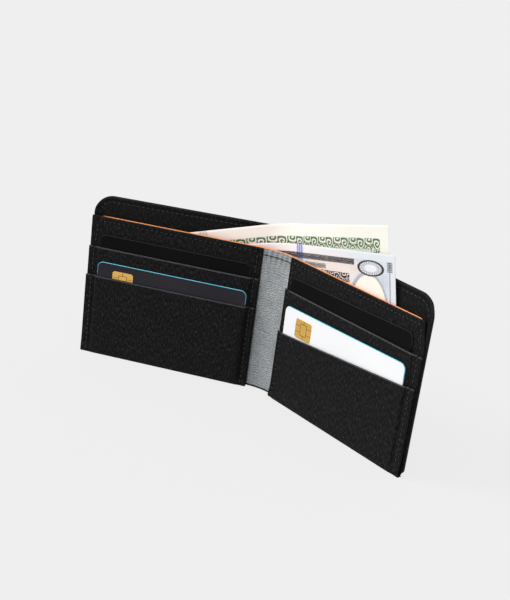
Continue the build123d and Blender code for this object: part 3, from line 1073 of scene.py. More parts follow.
@dataclass(frozen=True)
class NoteFinish(Finish):
    """Generic banknote print without figures or letters.

    Attributes:
        paper: colour of the left part of the sheet. On the green note it is lighter than the paper itself:
            painted light for the part that faces away from the lamp.
        paper_far: colour of its right part.
        ink: colour of the bands and the rosettes.
        field: colour of the fine engraved field.
        strip: colour of the woven strip.
        field_area: half width and half height of the engraved field, mm.
        bands: rows of scrollwork.
        ovals: rosettes and ovals, from the lowest layer up.
        strip_at: place of the strip from the sheet's middle, mm.
        dotted_at: place of the dotted line at both ends, mm.
        fibre: colour of the paper's fibres.
    """

    paper: Colour
    paper_far: Colour
    ink: Colour
    field: Colour
    strip: Colour
    field_area: Pair
    bands: tuple[PrintedBand, ...]
    ovals: tuple[PrintedOval, ...]
    strip_at: float
    dotted_at: float
    fibre: Colour = shade(170, 165, 150)

    def surface(self, g: Graph) -> Inputs:
        """Lays the print down in the order of a press: tint, field, strip, ovals, bands, dots."""
        place = g.pattern()
        x, z = g.parts(place)
        fibre = g.noise(place, 3.0, 4.0, 0.7)
        # The paper fades from paper to paper_far across the sheet. On the green note this includes painted
        # light on the left part.
        colour = g.mix(g.fade(x, -20.0, 60.0), self.paper, self.paper_far)
        side, end = g.minus(self.field_area[0], g.size(x)), g.minus(self.field_area[1], g.size(z))
        printed = g.fade(g.least(side, end), -0.12, 0.12)
        engraved = g.group(engraving_group(), {"Place": place, "Pitch": 0.9, "Wave": 1.4})["Ink"]
        tone = g.fade(g.noise(g.turned(place, (0.06, 0.09, 1)), 1.0, 2.0), 0.35, 0.65)
        body = g.times(printed, g.linear(tone, 0.45, 0.2))
        colour = g.mix(g.times(body, engraved), colour, self.field)
        strip = g.fade(g.size(g.minus(x, self.strip_at)), 2.6, 2.3)
        stripes = g.linear(g.fade(g.sine(g.times(x, 3.9)), -0.2, 0.2), 0.35, 0.5)
        colour = g.mix(g.times(strip, stripes), colour, self.strip)
        for oval in self.ovals:
            colour = oval.printed(g, place, colour, self.ink)
        for band in self.bands:
            colour = g.mix(band.ink(g, place), colour, self.ink)
        dots = g.fade(g.sine(g.times(z, 2 * math.pi / 0.9)), -0.2, 0.4)
        line = g.fade(g.size(g.minus(g.size(x), self.dotted_at)), 0.5, 0.3)
        colour = g.mix(g.times(g.times(dots, printed), line), colour, self.ink)
        return {
            "Base Color": g.mix(g.times(fibre, 0.08), colour, self.fibre),
            "Roughness": g.linear(fibre, 0.2, 0.66),
            "Normal": g.relief(fibre, 0.02),
            "Specular IOR Level": 0.1,
        }


@dataclass(frozen=True)
class PaintFinish(Finish):
    """Matt studio paint.

    Attributes:
        paint: its colour.
        glow: colour of the light that shines through it.
        glow_strength: radiance of that light.
    """

    paint: Colour
    glow: Colour
    glow_strength: float

    def surface(self, g: Graph) -> Inputs:
        """A very faint unevenness keeps the floor from looking computed."""
        cloud = g.noise(g.own_place(), 0.6, 2.0)
        return {
            "Base Color": g.dimmed(self.paint, g.linear(cloud, 0.01, 0.995)),
            "Roughness": 1.0,
            "Specular IOR Level": 0.0,
            "Emission Color": self.glow,
            "Emission Strength": self.glow_strength,
        }


# Each cloth's fourth colour is for worn folds and is partly a painted highlight. The extra dark colour given
# to the orange and grey cloths is painted shade.
BLACK_CLOTH = ClothFinish(
    "Black slub cloth", shade(8, 8, 9), shade(46, 46, 49), shade(2, 2, 3), shade(92, 92, 96)
)
BLACK_LINING = ClothFinish(
    "Black lining", shade(14, 13, 14), shade(42, 40, 42), shade(4, 4, 4), shade(80, 80, 82),
    warp=0.38, weft=0.38,
)
SEAM_CLOTH = ClothFinish(
    "Seam binding", shade(16, 16, 17), shade(32, 32, 34), shade(5, 5, 5), shade(60, 60, 62), slub=0.6
)
ORANGE_LINING = ClothFinish(
    "Orange lining",
    shade(238, 138, 66), shade(250, 166, 96), shade(196, 92, 34), shade(252, 178, 116),
    hollow_shade=shade(120, 40, 24),
    warp=0.3, weft=0.3, slub=0.4, gap_depth=0.3, wear_and_highlight=0.5, relief=0.04, roughness=0.7,
)
GREY_CLOTH = ClothFinish(
    "Grey gusset cloth",
    shade(166, 170, 172), shade(192, 196, 198), shade(80, 84, 87), shade(232, 235, 237),
    hollow_shade=shade(20, 21, 23),
    warp=1.25, weft=1.3, slub=0.35, streak_length=2.6, gap_depth=0.5, wear_and_highlight=0.7,
    rib=0.42, wander=2.6, relief=0.22, roughness=0.8,
)
# The black thread's strands are a lighter grey than black thread: a painted highlight on the stitches.
THREAD = ThreadFinish("Black thread", shade(44, 44, 48), shade(8, 8, 9))
DARK_THREAD = ThreadFinish("Gusset thread", shade(26, 26, 28), shade(4, 4, 5))
# The matt black card's grey edge colour is a painted highlight along its rim.
MATT_BLACK = CardFinish(
    "Matt black card", shade(5, 5, 6), shade(8, 8, 9), shade(46, 46, 49), 0.7, 0.6, 0.0, 0.06
)
CHARCOAL = CardFinish(
    "Charcoal card", shade(34, 32, 37), shade(40, 38, 43), shade(104, 190, 210), 1.0, 0.5, 0.0, 0.10
)
WHITE = CardFinish(
    "White card", shade(221, 221, 222), shade(217, 218, 220), shade(84, 188, 208), 1.0, 0.4, 0.05
)
CONTACTS = ContactFinish(
    "Gold contacts", shade(236, 188, 100), shade(170, 120, 48), shade(70, 56, 34)
)
BOARD = BoardFinish("Stiffening board", shade(120, 112, 100), shade(160, 152, 138))
NOTE_HALF = (78.0, 33.15)
BACK_NOTE_PRINT = NoteFinish(
    "Green banknote",
    # Painted light: the left part is lighter than the paper's own colour, to make up for the light it lacks.
    paper=shade(245, 234, 226),
    paper_far=shade(222, 220, 211),
    ink=shade(58, 92, 50),
    field=shade(150, 168, 138),
    strip=shade(206, 196, 186),
    field_area=(71.5, 27.0),
    bands=(
        PrintedBand(-72.0, 72.0, 21.2, 26.8, 5.6, 0.62, 0.95, 0.0),
        PrintedBand(-72.0, 72.0, -26.8, -21.2, 5.6, 0.62, 0.95, 0.0),
        PrintedBand(67.6, 72.0, -21.2, 21.2, 4.4, 0.62, 0.9, 0.05),
        PrintedBand(-72.0, -67.6, -21.2, 21.2, 4.4, 0.62, 0.9, 0.05),
    ),
    ovals=(
        PrintedOval((0.0, -2.0), (20.0, 15.0), 20.0, shade(214, 222, 204), 0.9, 0.5),
        PrintedOval((48.0, 14.0), (15.0, 6.0), 16.0, shade(218, 220, 204), 0.9, 0.6),
    ),
    strip_at=-40.0,
    dotted_at=66.0,
)
CORNER_ROSETTES = tuple(
    PrintedOval((61.6 * x, 25.4 * z), (9.2, 4.0), 11.0, shade(214, 216, 222), 0.9, 1.0)
    for x in (-1, 1)
    for z in (-1, 1)
)
FRONT_NOTE_PRINT = NoteFinish(
    "Blue banknote",
    paper=shade(236, 220, 217),
    paper_far=shade(204, 208, 214),
    ink=shade(30, 29, 36),
    field=shade(150, 150, 166),
    strip=shade(84, 108, 190),
    field_area=(74.8, 29.4),
    bands=(
        PrintedBand(-50.4, 50.4, 26.1, 29.1, 3.0, 0.86, 1.0, 0.0),
        PrintedBand(14.0, 30.0, 22.4, 24.8, 2.4, 0.4, 0.0, 1.0),
        PrintedBand(4.0, 47.0, 17.0, 21.6, 4.5, 0.36, 0.0, 1.0),
        PrintedBand(16.0, 40.0, 11.6, 15.8, 4.3, 0.36, 0.0, 1.0),
        PrintedBand(72.6, 76.2, 24.4, 29.4, 2.2, 0.7, 0.8, 0.1),
        PrintedBand(-50.4, 50.4, -29.1, -26.1, 3.0, 0.86, 1.0, 0.0),
    ),
    ovals=(
        PrintedOval((38.0, 4.0), (34.0, 26.0), 30.0, shade(234, 212, 198), 0.55, 0.06),
        PrintedOval((59.6, 5.0), (13.6, 18.6), 26.0, shade(178, 186, 198), 0.9, 0.3),
        PrintedOval((60.0, 5.0), (11.8, 16.8), 3.0, shade(240, 222, 210), 1.0, 0.0),
        *CORNER_ROSETTES,
    ),
    strip_at=10.4,
    dotted_at=74.4,
)
FLOOR_PAINT = PaintFinish("Studio floor", shade(70, 70, 70), (1.0, 1.0, 1.0, 1.0), 0.783)


# ------------ how the wallet folds
@dataclass(frozen=True)
class Fold:
    """Paths of the wallet's layers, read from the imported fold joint.

    Attributes:
        axis_y: Y of the upright fold axis, mm.
        half_turn: angle of each wing to the X axis, radians.
        reach: from the fold axis to a card panel's inner edge, along the wing, mm.
        depth: from the fold axis to a card panel's front face, mm.
    """

    axis_y: float
    half_turn: float = math.radians(18.0)
    reach: float = 8.0
    depth: float = 3.7

    @classmethod
    def from_frame(cls) -> "Fold":
        """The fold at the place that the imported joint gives."""
        joint = next(j for j in frame["joints"] if j["name"] == "fold")
        return cls(axis_y=joint["pos_m"][1] / MM)

    @property
    def front(self) -> SheetPath:
        """Path of the card panels and the gusset: an arc that leaves both panels along their faces."""
        edge_x = self.reach * math.cos(self.half_turn) + self.depth * math.sin(self.half_turn)
        edge_y = self.depth * math.cos(self.half_turn) - self.reach * math.sin(self.half_turn)
        radius = edge_x / math.sin(self.half_turn)
        centre = self.axis_y + edge_y - radius * math.cos(self.half_turn)
        return SheetPath(radius, radius, centre, 0.0, self.half_turn)

    def back(self, pitch_radius: float) -> SheetPath:
        """Path of the cover and the notes: an arc about the fold axis itself."""
        return SheetPath(self.depth, pitch_radius, self.axis_y, self.reach, self.half_turn)


@dataclass
class Part:
    """A sub-assembly of the wallet.

    Attributes:
        fold: how the wallet folds.
    """

    fold: Fold


@dataclass
class Sewing:
    """Makes rows of stitches along lines on a layer."""

    thread: ThreadFinish = THREAD

    def row(self, surface: Surface, starts: Array, ends: Array, towards: float) -> Shell:
        """Stitches between pairs of places on a surface.

        Args:
            surface: function of two arrays that gives points, mm.
            starts: where each stitch starts, n x 2.
            ends: where it ends, n x 2.
            towards: 1 if the stitches show on the side that the surface's grid faces, or -1.

        Returns:
            The row's shell.
        """
        a = surface(starts[:, 0], starts[:, 1])
        b = surface(ends[:, 0], ends[:, 1])
        middle = (starts + ends) / 2
        centre = surface(middle[:, 0], middle[:, 1])
        step = 0.05
        du = surface(middle[:, 0] + step, middle[:, 1]) - surface(middle[:, 0] - step, middle[:, 1])
        dv = surface(middle[:, 0], middle[:, 1] + step) - surface(middle[:, 0], middle[:, 1] - step)
        normal = np.cross(du, dv) * towards
        normal /= np.linalg.norm(normal, axis=-1, keepdims=True)
        along = b - a
        along -= (along * normal).sum(-1, keepdims=True) * normal
        along /= np.linalg.norm(along, axis=-1, keepdims=True)
        return stitch_row(centre, along, normal)


def stitch_ends(path: Array, gap: float = 0.8) -> tuple[Array, Array]:
    """Divides a line into stitches.

    Args:
        path: n x 2 points of the line, mm.
        gap: length of cloth between two stitches, mm.

    Returns:
        Starts and ends of the stitches, each m x 2.
    """
    legs = np.linalg.norm(np.diff(path, axis=0), axis=1)
    length = np.concatenate([[0.0], np.cumsum(legs)])
    count = max(1, round(length[-1] / STITCH_PITCH))
    edges = np.linspace(0, length[-1], count + 1)

    def at(distance: Array) -> Array:
        """Points at distances along the line."""
        return np.stack([np.interp(distance, length, path[:, k]) for k in (0, 1)], axis=-1)

    return at(edges[:-1] + gap / 2), at(edges[1:] - gap / 2)


# ------------ the cover
@dataclass
class CoverShell(Part):
    """Cover of the wallet: outer cloth turned over the lining's border, and the thread round it.

    Attributes:
        reach: from a panel's inner edge to the cover's outer edge, mm.
        height: of the cover, mm.
        top_corner: radius of the two top corners, mm.
        foot_corner: radius of the two bottom corners, mm.
        seam_depth: front of the lining where it is sewn down, mm.
        mouth_gap: how much deeper the mouth is at the spine's top, mm.
        lining: thickness of the lining, mm.
        board: thickness of the stiffener, mm.
        outer: thickness of the outer cloth, mm.
        hem: width of the outer cloth that is turned to the front, mm.
        stitch_inset: from the cover's edge to its thread, mm.
        rim: how far the turned edge bulges, mm.
        press: how much closer to the panels the outer edges are pressed, mm.
        pressed: from where the cover is pressed to where the press is whole, mm.
        furrow: depth of the furrow that the border's thread pulls, mm.
        trim: how far the turned edge stays inside the reach, mm.
    """

    reach: float = 97.5
    height: float = 91.5
    top_corner: float = 10.0
    foot_corner: float = 2.0
    seam_depth: float = 2.3
    mouth_gap: float = 5.0
    lining: float = 0.5
    board: float = 0.4
    outer: float = 0.8
    hem: float = 1.3
    stitch_inset: float = 3.2
    rim: float = 0.55
    press: float = 0.9
    pressed: Pair = (92.8, 96.5)
    furrow: float = 0.16
    trim: float = 0.7

    def __post_init__(self) -> None:
        """Lays the path and the outline down."""
        self.path = self.fold.back(pitch_radius=10.0)
        far = self.path.run(Side.RIGHT, self.reach - self.trim) - self.rim
        corners = (self.foot_corner, self.foot_corner, self.top_corner, self.top_corner)
        self.outline = Outline(-far, far, self.rim, self.height - self.rim, corners)

    def mouth(self, run: Array, height: Array) -> Array:
        """Depth of the lining's front: the seam's depth, plus the mouth's gap towards the spine's top."""
        x = self.path.wing_x(run)
        share = (self.reach - x) / (self.reach + self.fold.reach) * height / self.height
        return self.seam_depth + self.mouth_gap * share - self.press * smooth(x, *self.pressed)

    def groove(self, inset: Array, run: Array, height: Array) -> Array:
        """Furrow that the border's thread pulls, with a dimple between two stitches."""
        waver = 1.0 + 0.3 * ripple(run, height, 7.0, 13)
        return self.furrow * ridge(inset, self.stitch_inset - self.rim, 0.75) * waver

    def furrow_shade(self, inset: Array) -> Array:
        """Painted shade along the furrow of the border's thread."""
        return 0.6 * ridge(inset, self.stitch_inset - self.rim, 0.45)

    def grid(self, outline: Outline) -> tuple[Array, Array, Array]:
        """Grid over an outline, fine along the border and the spine.

        Args:
            outline: the layer's shape.

        Returns:
            Rounded places along and up the layer, and each one's distance from the border.
        """
        right, bottom, top = outline.right, outline.bottom, outline.top
        near = lines((0.0, 2.0, 0.25), (2.0, 4.0, 0.4), (4.0, 10.0, 0.75))
        spine = lines((0.0, 14.0, 0.7), (14.0, right - 10.0, 1.15))
        middle = lines((bottom + 10.0, top - 10.0, 1.15))
        half = np.concatenate([spine, right - near[::-1]])
        rows = np.concatenate([bottom + near, middle, top - near[::-1]])
        half, rows = (np.unique(np.round(places, 6)) for places in (half, rows))
        run, height = np.meshgrid(mirrored_lines(half), rows)
        inset = outline.inset(run, height)
        return (*outline.round(run, height), inset)

    def outer_cloth(self) -> Piece:
        """Outer cloth over both wings and the spine, its border turned to the front as a hem."""
        run, height, inset = self.grid(self.outline)
        mouth = self.mouth(run, height)
        hem = smooth(inset, self.hem + 0.35, self.hem - 0.15)
        under = self.lining + self.board
        front = mouth + under * (1 - hem) - 0.03 * hem
        swell = 0.14 * ripple(run, height, 34.0, 11) + 0.05 * ripple(run, height, 9.0, 12)
        quiet = smooth(inset, 0.0, 6.0)
        back = mouth + under + self.outer + swell * quiet - self.groove(inset, run, height)
        # Worn colour with a painted highlight on the turned edge, and painted shade along the border's
        # thread.
        masks = {"fold": 0.3 * smooth(inset, 0.5, 0.0), "shade": self.furrow_shade(inset)}
        shell = self.path.layer(run, height, (front, back), masks, self.rim, steps=8)
        piece = shell.piece("cover_cloth", BLACK_CLOTH)
        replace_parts(piece, "left_outer_cover", "right_outer_cover", "spine_cover")
        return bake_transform(piece)

    def lining_cloth(self) -> Piece:
        """Lining inside the hem, with the furrow of the border's thread."""
        inside = self.hem + 0.15
        box = self.outline
        corners = tuple(max(c - inside, 0.8) for c in box.corners)
        cut = Outline(box.left + inside, box.right - inside, box.bottom + inside, box.top - inside, corners)
        run, height, inset = self.grid(cut)
        mouth = self.mouth(run, height)
        swell = 0.06 * ripple(run, height, 26.0, 21) * smooth(inset, 0.0, 5.0)
        front = mouth + 0.10 - 0.05 * smooth(inset, 0.0, 1.5) + swell
        front += self.groove(inset + inside, run, height)
        # Painted shade along the border's thread.
        masks = {"fold": np.zeros_like(inset), "shade": self.furrow_shade(inset + inside)}
        shell = self.path.layer(run, height, (front, mouth + self.lining), masks, 0.12)
        piece = shell.piece("cover_lining_cloth", BLACK_LINING)
        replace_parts(piece, "left_cover_lining", "right_cover_lining", "spine_cover_lining")
        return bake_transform(piece)

    def border_line(self, foot: float) -> Array:
        """Line of the thread from one foot over both top corners to the other foot."""
        inset = self.stitch_inset - self.rim
        box = self.outline
        radius = box.corners[2] - inset
        turn = np.linspace(0, math.pi / 2, 12)
        far, top = box.right - inset, box.top - inset
        across, up = far - radius + radius * np.cos(turn), top - radius + radius * np.sin(turn)
        half = np.concatenate([[[far, foot]], np.stack([across, up], axis=-1)])
        other = half[::-1] * np.array([-1.0, 1.0])
        return np.concatenate([half, other])

    def thread(self, sewing: Sewing) -> Piece:
        """Thread round the border, on the lining down to the panels and outside down to the foot."""

        def inside(run: Array, height: Array) -> Array:
            """Points just under the lining's face."""
            return self.path.place(run, self.mouth(run, height) + 0.12, height)

        def outside(run: Array, height: Array) -> Array:
            """Points just under the outer cloth's face."""
            depth = self.mouth(run, height) + self.lining + self.board + self.outer - 0.10
            return self.path.place(run, depth, height)

        rows = [
            sewing.row(inside, *stitch_ends(self.border_line(80.5)), 1.0),
            sewing.row(outside, *stitch_ends(self.border_line(2.5)), -1.0),
        ]
        piece = Shell.joined(rows).piece("cover_thread", sewing.thread)
        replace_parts(piece, "left_cover_stitching", "right_cover_stitching", "spine_cover_stitching")
        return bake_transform(piece)

    def build(self, sewing: Sewing) -> list[Piece]:
        """All pieces of the cover."""
        for side in Side:
            node = frame["nodes"][f"{side.label}_cover_stiffener"]
            for place in node.material_slots:
                place.material = BOARD.material()
            if not node.material_slots:
                node.data.materials.append(BOARD.material())
        return [self.outer_cloth(), self.lining_cloth(), self.thread(sewing)]


# ------------ the bill compartment
@dataclass
class Compartment(Part):
    """Divider behind the card panels, and the seams that close the compartment.

    Attributes:
        cover: the cover that the compartment is sewn to.
        panel: thickness of a card panel, mm.
        thickness: of the divider's lining, mm.
        width: of the divider on each wing, mm.
        top: height of the divider, mm.
        seam_width: of the side seams, mm.
    """

    cover: CoverShell
    panel: float = 0.6
    thickness: float = 0.5
    width: float = 92.6
    top: float = 80.3
    seam_width: float = 2.6

    def divider(self) -> Piece:
        """Lining over both wings and the spine, its folded top a little above the panels."""
        path = self.fold.front
        far = path.run(Side.RIGHT, self.width)
        cut = Outline(-far, far, FLOOR_SEAM_TOP + 0.25, self.top - 0.2, (1.0, 1.0, 2.6, 2.6))
        half = lines((0.0, 12.0, 0.7), (12.0, far - 3.0, 1.6), (far - 3.0, far, 0.3))
        rows = lines((cut.bottom, 60.0, 2.4), (60.0, cut.top - 3.0, 1.0), (cut.top - 3.0, cut.top, 0.3))
        run, height = np.meshgrid(mirrored_lines(half), rows)
        inset = cut.inset(run, height)
        run, height = cut.round(run, height)
        wave = 0.04 * ripple(run, height, 18.0, 31)
        front = np.full_like(run, self.panel + 0.03)
        back = front + self.thickness - 0.05 + wave
        # Worn colour with a painted highlight along the folded edges, and painted shade at the left end.
        masks = {"fold": smooth(inset, 1.0, 0.0), "shade": 0.8 * smooth(run, 8.0 - far, -far)}
        shell = path.layer(run, height, (front, back), masks, 0.22)
        piece = shell.piece("divider_cloth", ORANGE_LINING)
        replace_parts(piece, "left_divider_lining", "right_divider_lining", "spine_divider_lining")
        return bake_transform(piece)

    def bottom_seam(self) -> Piece:
        """Folded allowance along the bottom, from the panels to the cover.

        Columns are shares -1..1 of the spine and then mm along a wing, so that the front follows the
        panels' path and the back the cover's.
        """
        front_path, back_path = self.fold.front, self.cover.path
        half = lines((0.0, 1.0, 0.09), (1.0, 5.0, 0.8), (5.0, 95.8, 1.5), (95.8, 97.0, 0.3))
        rows = lines((0.12, 0.7, 0.15), (0.7, 1.0, 0.1), (1.0, 1.9, 0.2))
        share, height = np.meshgrid(mirrored_lines(half), rows)
        spine, past = np.clip(share, -1, 1), np.maximum(np.abs(share) - 1, 0)
        front_run = spine * front_path.half_arc + np.sign(share) * past
        back_run = spine * (back_path.half_arc + back_path.reach) + np.sign(share) * past
        in_spine = smooth(np.abs(share), 1.05, 0.97)
        low = smooth(height, 0.95, 0.7)
        front = self.panel + 0.03 - 0.33 * in_spine * low
        beat = 0.04 * np.cos(front_run * 2 * math.pi / STITCH_PITCH)
        back = self.cover.mouth(back_run, height) - 0.02
        shell = closed_sheet(
            front_path.place(front_run, front + beat * low * in_spine, height),
            back_path.place(back_run, back, height),
            np.stack([front_run, height], axis=-1),
            {"fold": np.zeros_like(height), "shade": np.zeros_like(height)},
            0.12,
        )
        piece = shell.piece("bottom_seam_cloth", SEAM_CLOTH)
        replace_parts(piece, "left_compartment_seam", "right_compartment_seam", "spine_bottom_seam")
        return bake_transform(piece)

    def side_seam(self, side: Side) -> Piece:
        """Folded allowance up the outer side of a wing."""
        front_path, back_path = self.fold.front, self.cover.path
        across = lines((97.1 - self.seam_width, 97.1, 0.3))[:: side.value]
        x, height = np.meshgrid(across, lines((2.0, 79.6, 1.2)))
        front_run = side.value * (front_path.half_arc + x)
        back_run = side.value * (back_path.half_arc + back_path.reach + x)
        lump = 0.05 * ripple(x, height, 6.0, 41 + side.value)
        back = self.cover.mouth(back_run, height) - 0.02
        behind_divider = smooth(x, 95.5, 95.0)
        front = self.panel + 0.03 + self.thickness * behind_divider
        shell = closed_sheet(
            front_path.place(front_run + lump, front, height),
            back_path.place(back_run + lump, back, height),
            np.stack([front_run, height], axis=-1),
            {"fold": np.zeros_like(height), "shade": np.zeros_like(height)},
            0.2,
        )
        piece = shell.piece(f"side_seam_cloth_{side.label}", SEAM_CLOTH)
        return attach(piece, f"{side.label}_wing")

    def build(self) -> list[Piece]:
        """All pieces of the compartment."""
        return [self.divider(), self.bottom_seam(), *(self.side_seam(side) for side in Side)]


# ------------ the card panels
@dataclass
class CardPanel(Part):
    """One wing's card panel: a base and two pockets sewn down at both sides.

    Attributes:
        side: which wing.
        lower_mouth: height of the lower pocket's mouth at the inner and the outer side, mm.
        width: of the panel, mm.
        height: of the panel, mm.
        cloth: thickness of each layer, mm.
        slot: depth of a card's slot, mm.
        upper_mouth: height of the upper pocket's mouth, mm.
        upper_floor: height of the seam under the upper card, mm.
        inner_stitch: from the inner edge to its thread, mm.
        outer_stitch: from the outer edge to its thread, mm.
        top_stitch: from the top edge to its thread, mm.
        inner_ramp: where a pocket leaves the sewn strip and where it lies on the cards, mm.
        outer_ramp: the same at the outer side, from the cards to the strip, mm.
        upper_strip: lift of the upper pocket's sewn strips, inner and outer, mm.
        lower_strip: the same for the lower pocket, mm.
        foot_strip: lift of the lower pocket's strips at its foot, mm.
        foot_radius: of the lower pocket's turn under the panel, mm.
        foot_turn: how far it goes on behind that turn, mm.
        valley: how dark the painted shadow in the valley beside the inner strip is.
        taper: how far the top outer corner is pulled in by the mouth behind it, mm.
    """

    side: Side
    lower_mouth: Pair
    width: float = 97.0
    height: float = 80.0
    cloth: float = 0.6
    slot: float = 1.0
    upper_mouth: float = 62.8
    upper_floor: float = 16.0
    inner_stitch: float = 2.7
    outer_stitch: float = 2.7
    top_stitch: float = 2.6
    inner_ramp: Pair = (3.6, 5.4)
    outer_ramp: Pair = (90.6, 92.6)
    upper_strip: Pair = (0.35, 0.5)
    lower_strip: Pair = (0.85, 1.35)
    foot_strip: float = 1.75
    foot_radius: float = 0.95
    foot_turn: float = 2.2
    valley: float = 0.75
    taper: float = 1.2

    def __post_init__(self) -> None:
        """Takes the path of the panels."""
        self.path = self.fold.front

    def place(self, x: Array, depth: Array, height: Array) -> Array:
        """Points of this wing in the row frame, the top outer corner pulled in."""
        pulled = self.taper * smooth(height, 62.0, self.height) * np.clip(x / self.width, 0, 1) ** 4
        return self.path.place(self.side.value * (self.path.half_arc + x - pulled), depth, height)

    def over_cards(self, x: Array) -> Array:
        """1 where a pocket lies on the cards, 0 on the strips that are sewn down."""
        return smooth(x, *self.inner_ramp) * smooth(x, self.outer_ramp[1], self.outer_ramp[0])

    def seams(self, x: Array, height: Array) -> tuple[Array, Array]:
        """Closeness to the rows of thread, and the beat of the needle holes along them.

        The beat is (1 + cos(2 pi t / pitch)) / 2, with t counted from the row's first hole.

        Args:
            x: distance from the panel's inner edge, mm.
            height: Z, mm.

        Returns:
            Distance to the nearest row, mm, and the beat there.
        """
        outer, top = self.width - self.outer_stitch, self.height - self.top_stitch
        side = np.minimum(np.abs(x - self.inner_stitch), np.abs(x - outer))
        crown = np.abs(height - top)
        runs = (height - 1.5, top - 3.0), (x - self.inner_stitch, outer - self.inner_stitch)
        beats = [0.5 + 0.5 * np.cos(2 * math.pi * t * round(n / STITCH_PITCH) / n) for t, n in runs]
        return np.minimum(side, crown), np.where(side < crown, *beats)

    def pull(self, x: Array, height: Array) -> Array:
        """Furrow along both side rows and the top row, with a dimple at each needle hole."""
        near, beat = self.seams(x, height)
        return 0.16 * np.exp(-((near / 0.7) ** 2)) * (0.5 + 0.5 * beat)

    def hollow_shade(self, x: Array, height: Array) -> Array:
        """Mask of painted shade in the needle holes, along the furrow that joins them and on the cut sides.
        """
        near, beat = self.seams(x, height)
        holes = 0.95 * np.exp(-((near / 0.42) ** 2)) * beat**2
        # Painted shadow on the inner and outer cut sides.
        sides = 0.75 * smooth(x, 0.7, 0.1) + 0.6 * smooth(x, self.width - 0.9, self.width - 0.1)
        return np.clip(holes + 0.4 * np.exp(-((near / 0.8) ** 2)) + sides, 0, 1)

    def crease(self, x: Array) -> Array:
        """Valley between a sewn strip and the pocket that swells beside it."""
        return ridge(x, self.inner_ramp[0] + 0.2, 0.6) + 0.55 * ridge(x, self.outer_ramp[1] - 0.2, 0.7)

    def mouth_height(self, x: Array) -> Array:
        """Height of the lower pocket's mouth, straight from the inner to the outer side."""
        inner, outer = self.lower_mouth
        return inner + (outer - inner) * np.clip(x / self.width, 0, 1)

    def base_front(self, x: Array, height: Array) -> Array:
        """Depth of the base's front face."""
        wave = 0.05 * ripple(x, height, 20.0, 51 + self.side.value)
        return wave * smooth(height, self.height, self.height - 6) + self.pull(x, height)

    def valley_shade(self, x: Array, height: Array) -> Array:
        """Shadow in the valley between the sewn strip at the spine and the swelling pocket."""
        below = smooth(height, self.mouth_height(x), self.mouth_height(x) - 8.0)
        return self.valley * ridge(x, self.inner_ramp[1] + 0.2, 1.5) * below

    def strip_stack(self, x: Array, inner: float, outer: float) -> Array:
        """A level for the inner strip that goes over to another one for the outer strip."""
        return inner + (outer - inner) * smooth(x, 20.0, 80.0)

    def upper_front(self, x: Array, height: Array) -> Array:
        """Depth of the upper pocket's front face: on the strips it lies on the base's seam."""
        rise = self.over_cards(x)
        wave = 0.08 * np.clip(ripple(x, height, 16.0, 61 + self.side.value), 0, 1) * rise
        strip = self.strip_stack(x, *self.upper_strip)
        lift = strip + (self.slot - strip) * rise
        return -self.cloth - lift + wave + self.pull(x, height) * 0.8 + 0.15 * self.crease(x)

    def lower_front(self, x: Array, height: Array) -> Array:
        """Depth of the lower pocket's front face: on the strips it lies on the upper pocket's seam."""
        rise = self.over_cards(x)
        near_mouth = smooth(height, self.mouth_height(x) - 9.0, self.mouth_height(x))
        gape = 0.26 * np.sin(np.pi * np.clip(x / self.width, 0, 1)) * near_mouth
        wave = 0.07 * ripple(x, height, 15.0, 71 + self.side.value) + 0.05 * ripple(x, height, 5.5, 81)
        strip = self.strip_stack(x, *self.lower_strip)
        strip = strip + (self.foot_strip - strip) * smooth(height, 8.0, 1.5)
        lift = strip + (2 * self.slot - strip) * rise + gape * rise
        valley = 0.6 * self.crease(x) * smooth(height, 2.0, 9.0)
        return -2 * self.cloth - lift + 0.5 * wave * (0.3 + 0.7 * rise) + self.pull(x, height) * 0.8 + valley

    def columns(self, start: float, end: float, step: float = 1.0) -> Array:
        """Grid lines across the panel, fine at the sewn strips, in order of rising X."""
        return lines((start, 6.0, 0.3), (6.0, 89.5, step), (89.5, end, 0.3))[:: self.side.value]

    def sheet(
        self, front: Array, back: Array, x: Array, height: Array, masks: tuple[Array, Array], name: str
    ) -> Piece:
        """Closes a layer of this panel and makes it ride on its wing.

        Args:
            front: points of its front.
            back: points of its back.
            x: distance from the panel's inner edge, mm.
            height: place up the pattern piece, mm.
            masks: of the folded edges, for their worn colour with a painted highlight, and of the painted
                shade in needle holes and valleys.
            name: the piece's name without its side.

        Returns:
            The piece.
        """
        pattern = np.stack([self.side.value * (x + WEAVE_SHIFT), height], axis=-1)
        fold, dark = masks
        shell = closed_sheet(front, back, pattern, {"fold": fold, "shade": dark}, 0.24, steps=6)
        piece = shell.piece(f"{name}_{self.side.label}", BLACK_CLOTH)
        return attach(piece, f"{self.side.label}_wing")

    def base(self) -> Piece:
        """Base of the panel."""
        cut = Outline(0.1, self.width - 0.2, 0.25, self.height - 0.2, (0.6, 1.2, 1.5, 0.6))
        rows = lines((cut.bottom, 3.0, 0.5), (3.0, 60.0, 2.5), (60.0, 74.0, 0.5), (74.0, cut.top, 0.33))
        x, height = np.meshgrid(self.columns(cut.left, cut.right, 0.55), rows)
        x, height = cut.round(x, height)
        front = self.place(x, self.base_front(x, height), height)
        back = self.place(x, np.full_like(x, self.cloth), height)
        # Worn colour with a painted highlight along the top edge, and painted shade at the seams and cut
        # sides.
        crown = smooth(height, self.height - 0.8, self.height - 0.2)
        masks = (0.35 * crown, self.hollow_shade(x, height))
        piece = self.sheet(front, back, x, height, masks, "panel_cloth")
        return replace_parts(piece, f"{self.side.label}_base_panel")

    def upper_pocket(self) -> Piece:
        """Upper pocket, from its floor seam to its folded mouth."""
        start, end = -0.1, self.width + 0.02
        rows = lines((13.5, 36.0, 1.5), (36.0, 60.0, 0.5), (60.0, self.upper_mouth - 0.25, 0.25))
        x, height = np.meshgrid(self.columns(start, end), rows)
        depth = self.upper_front(x, height)
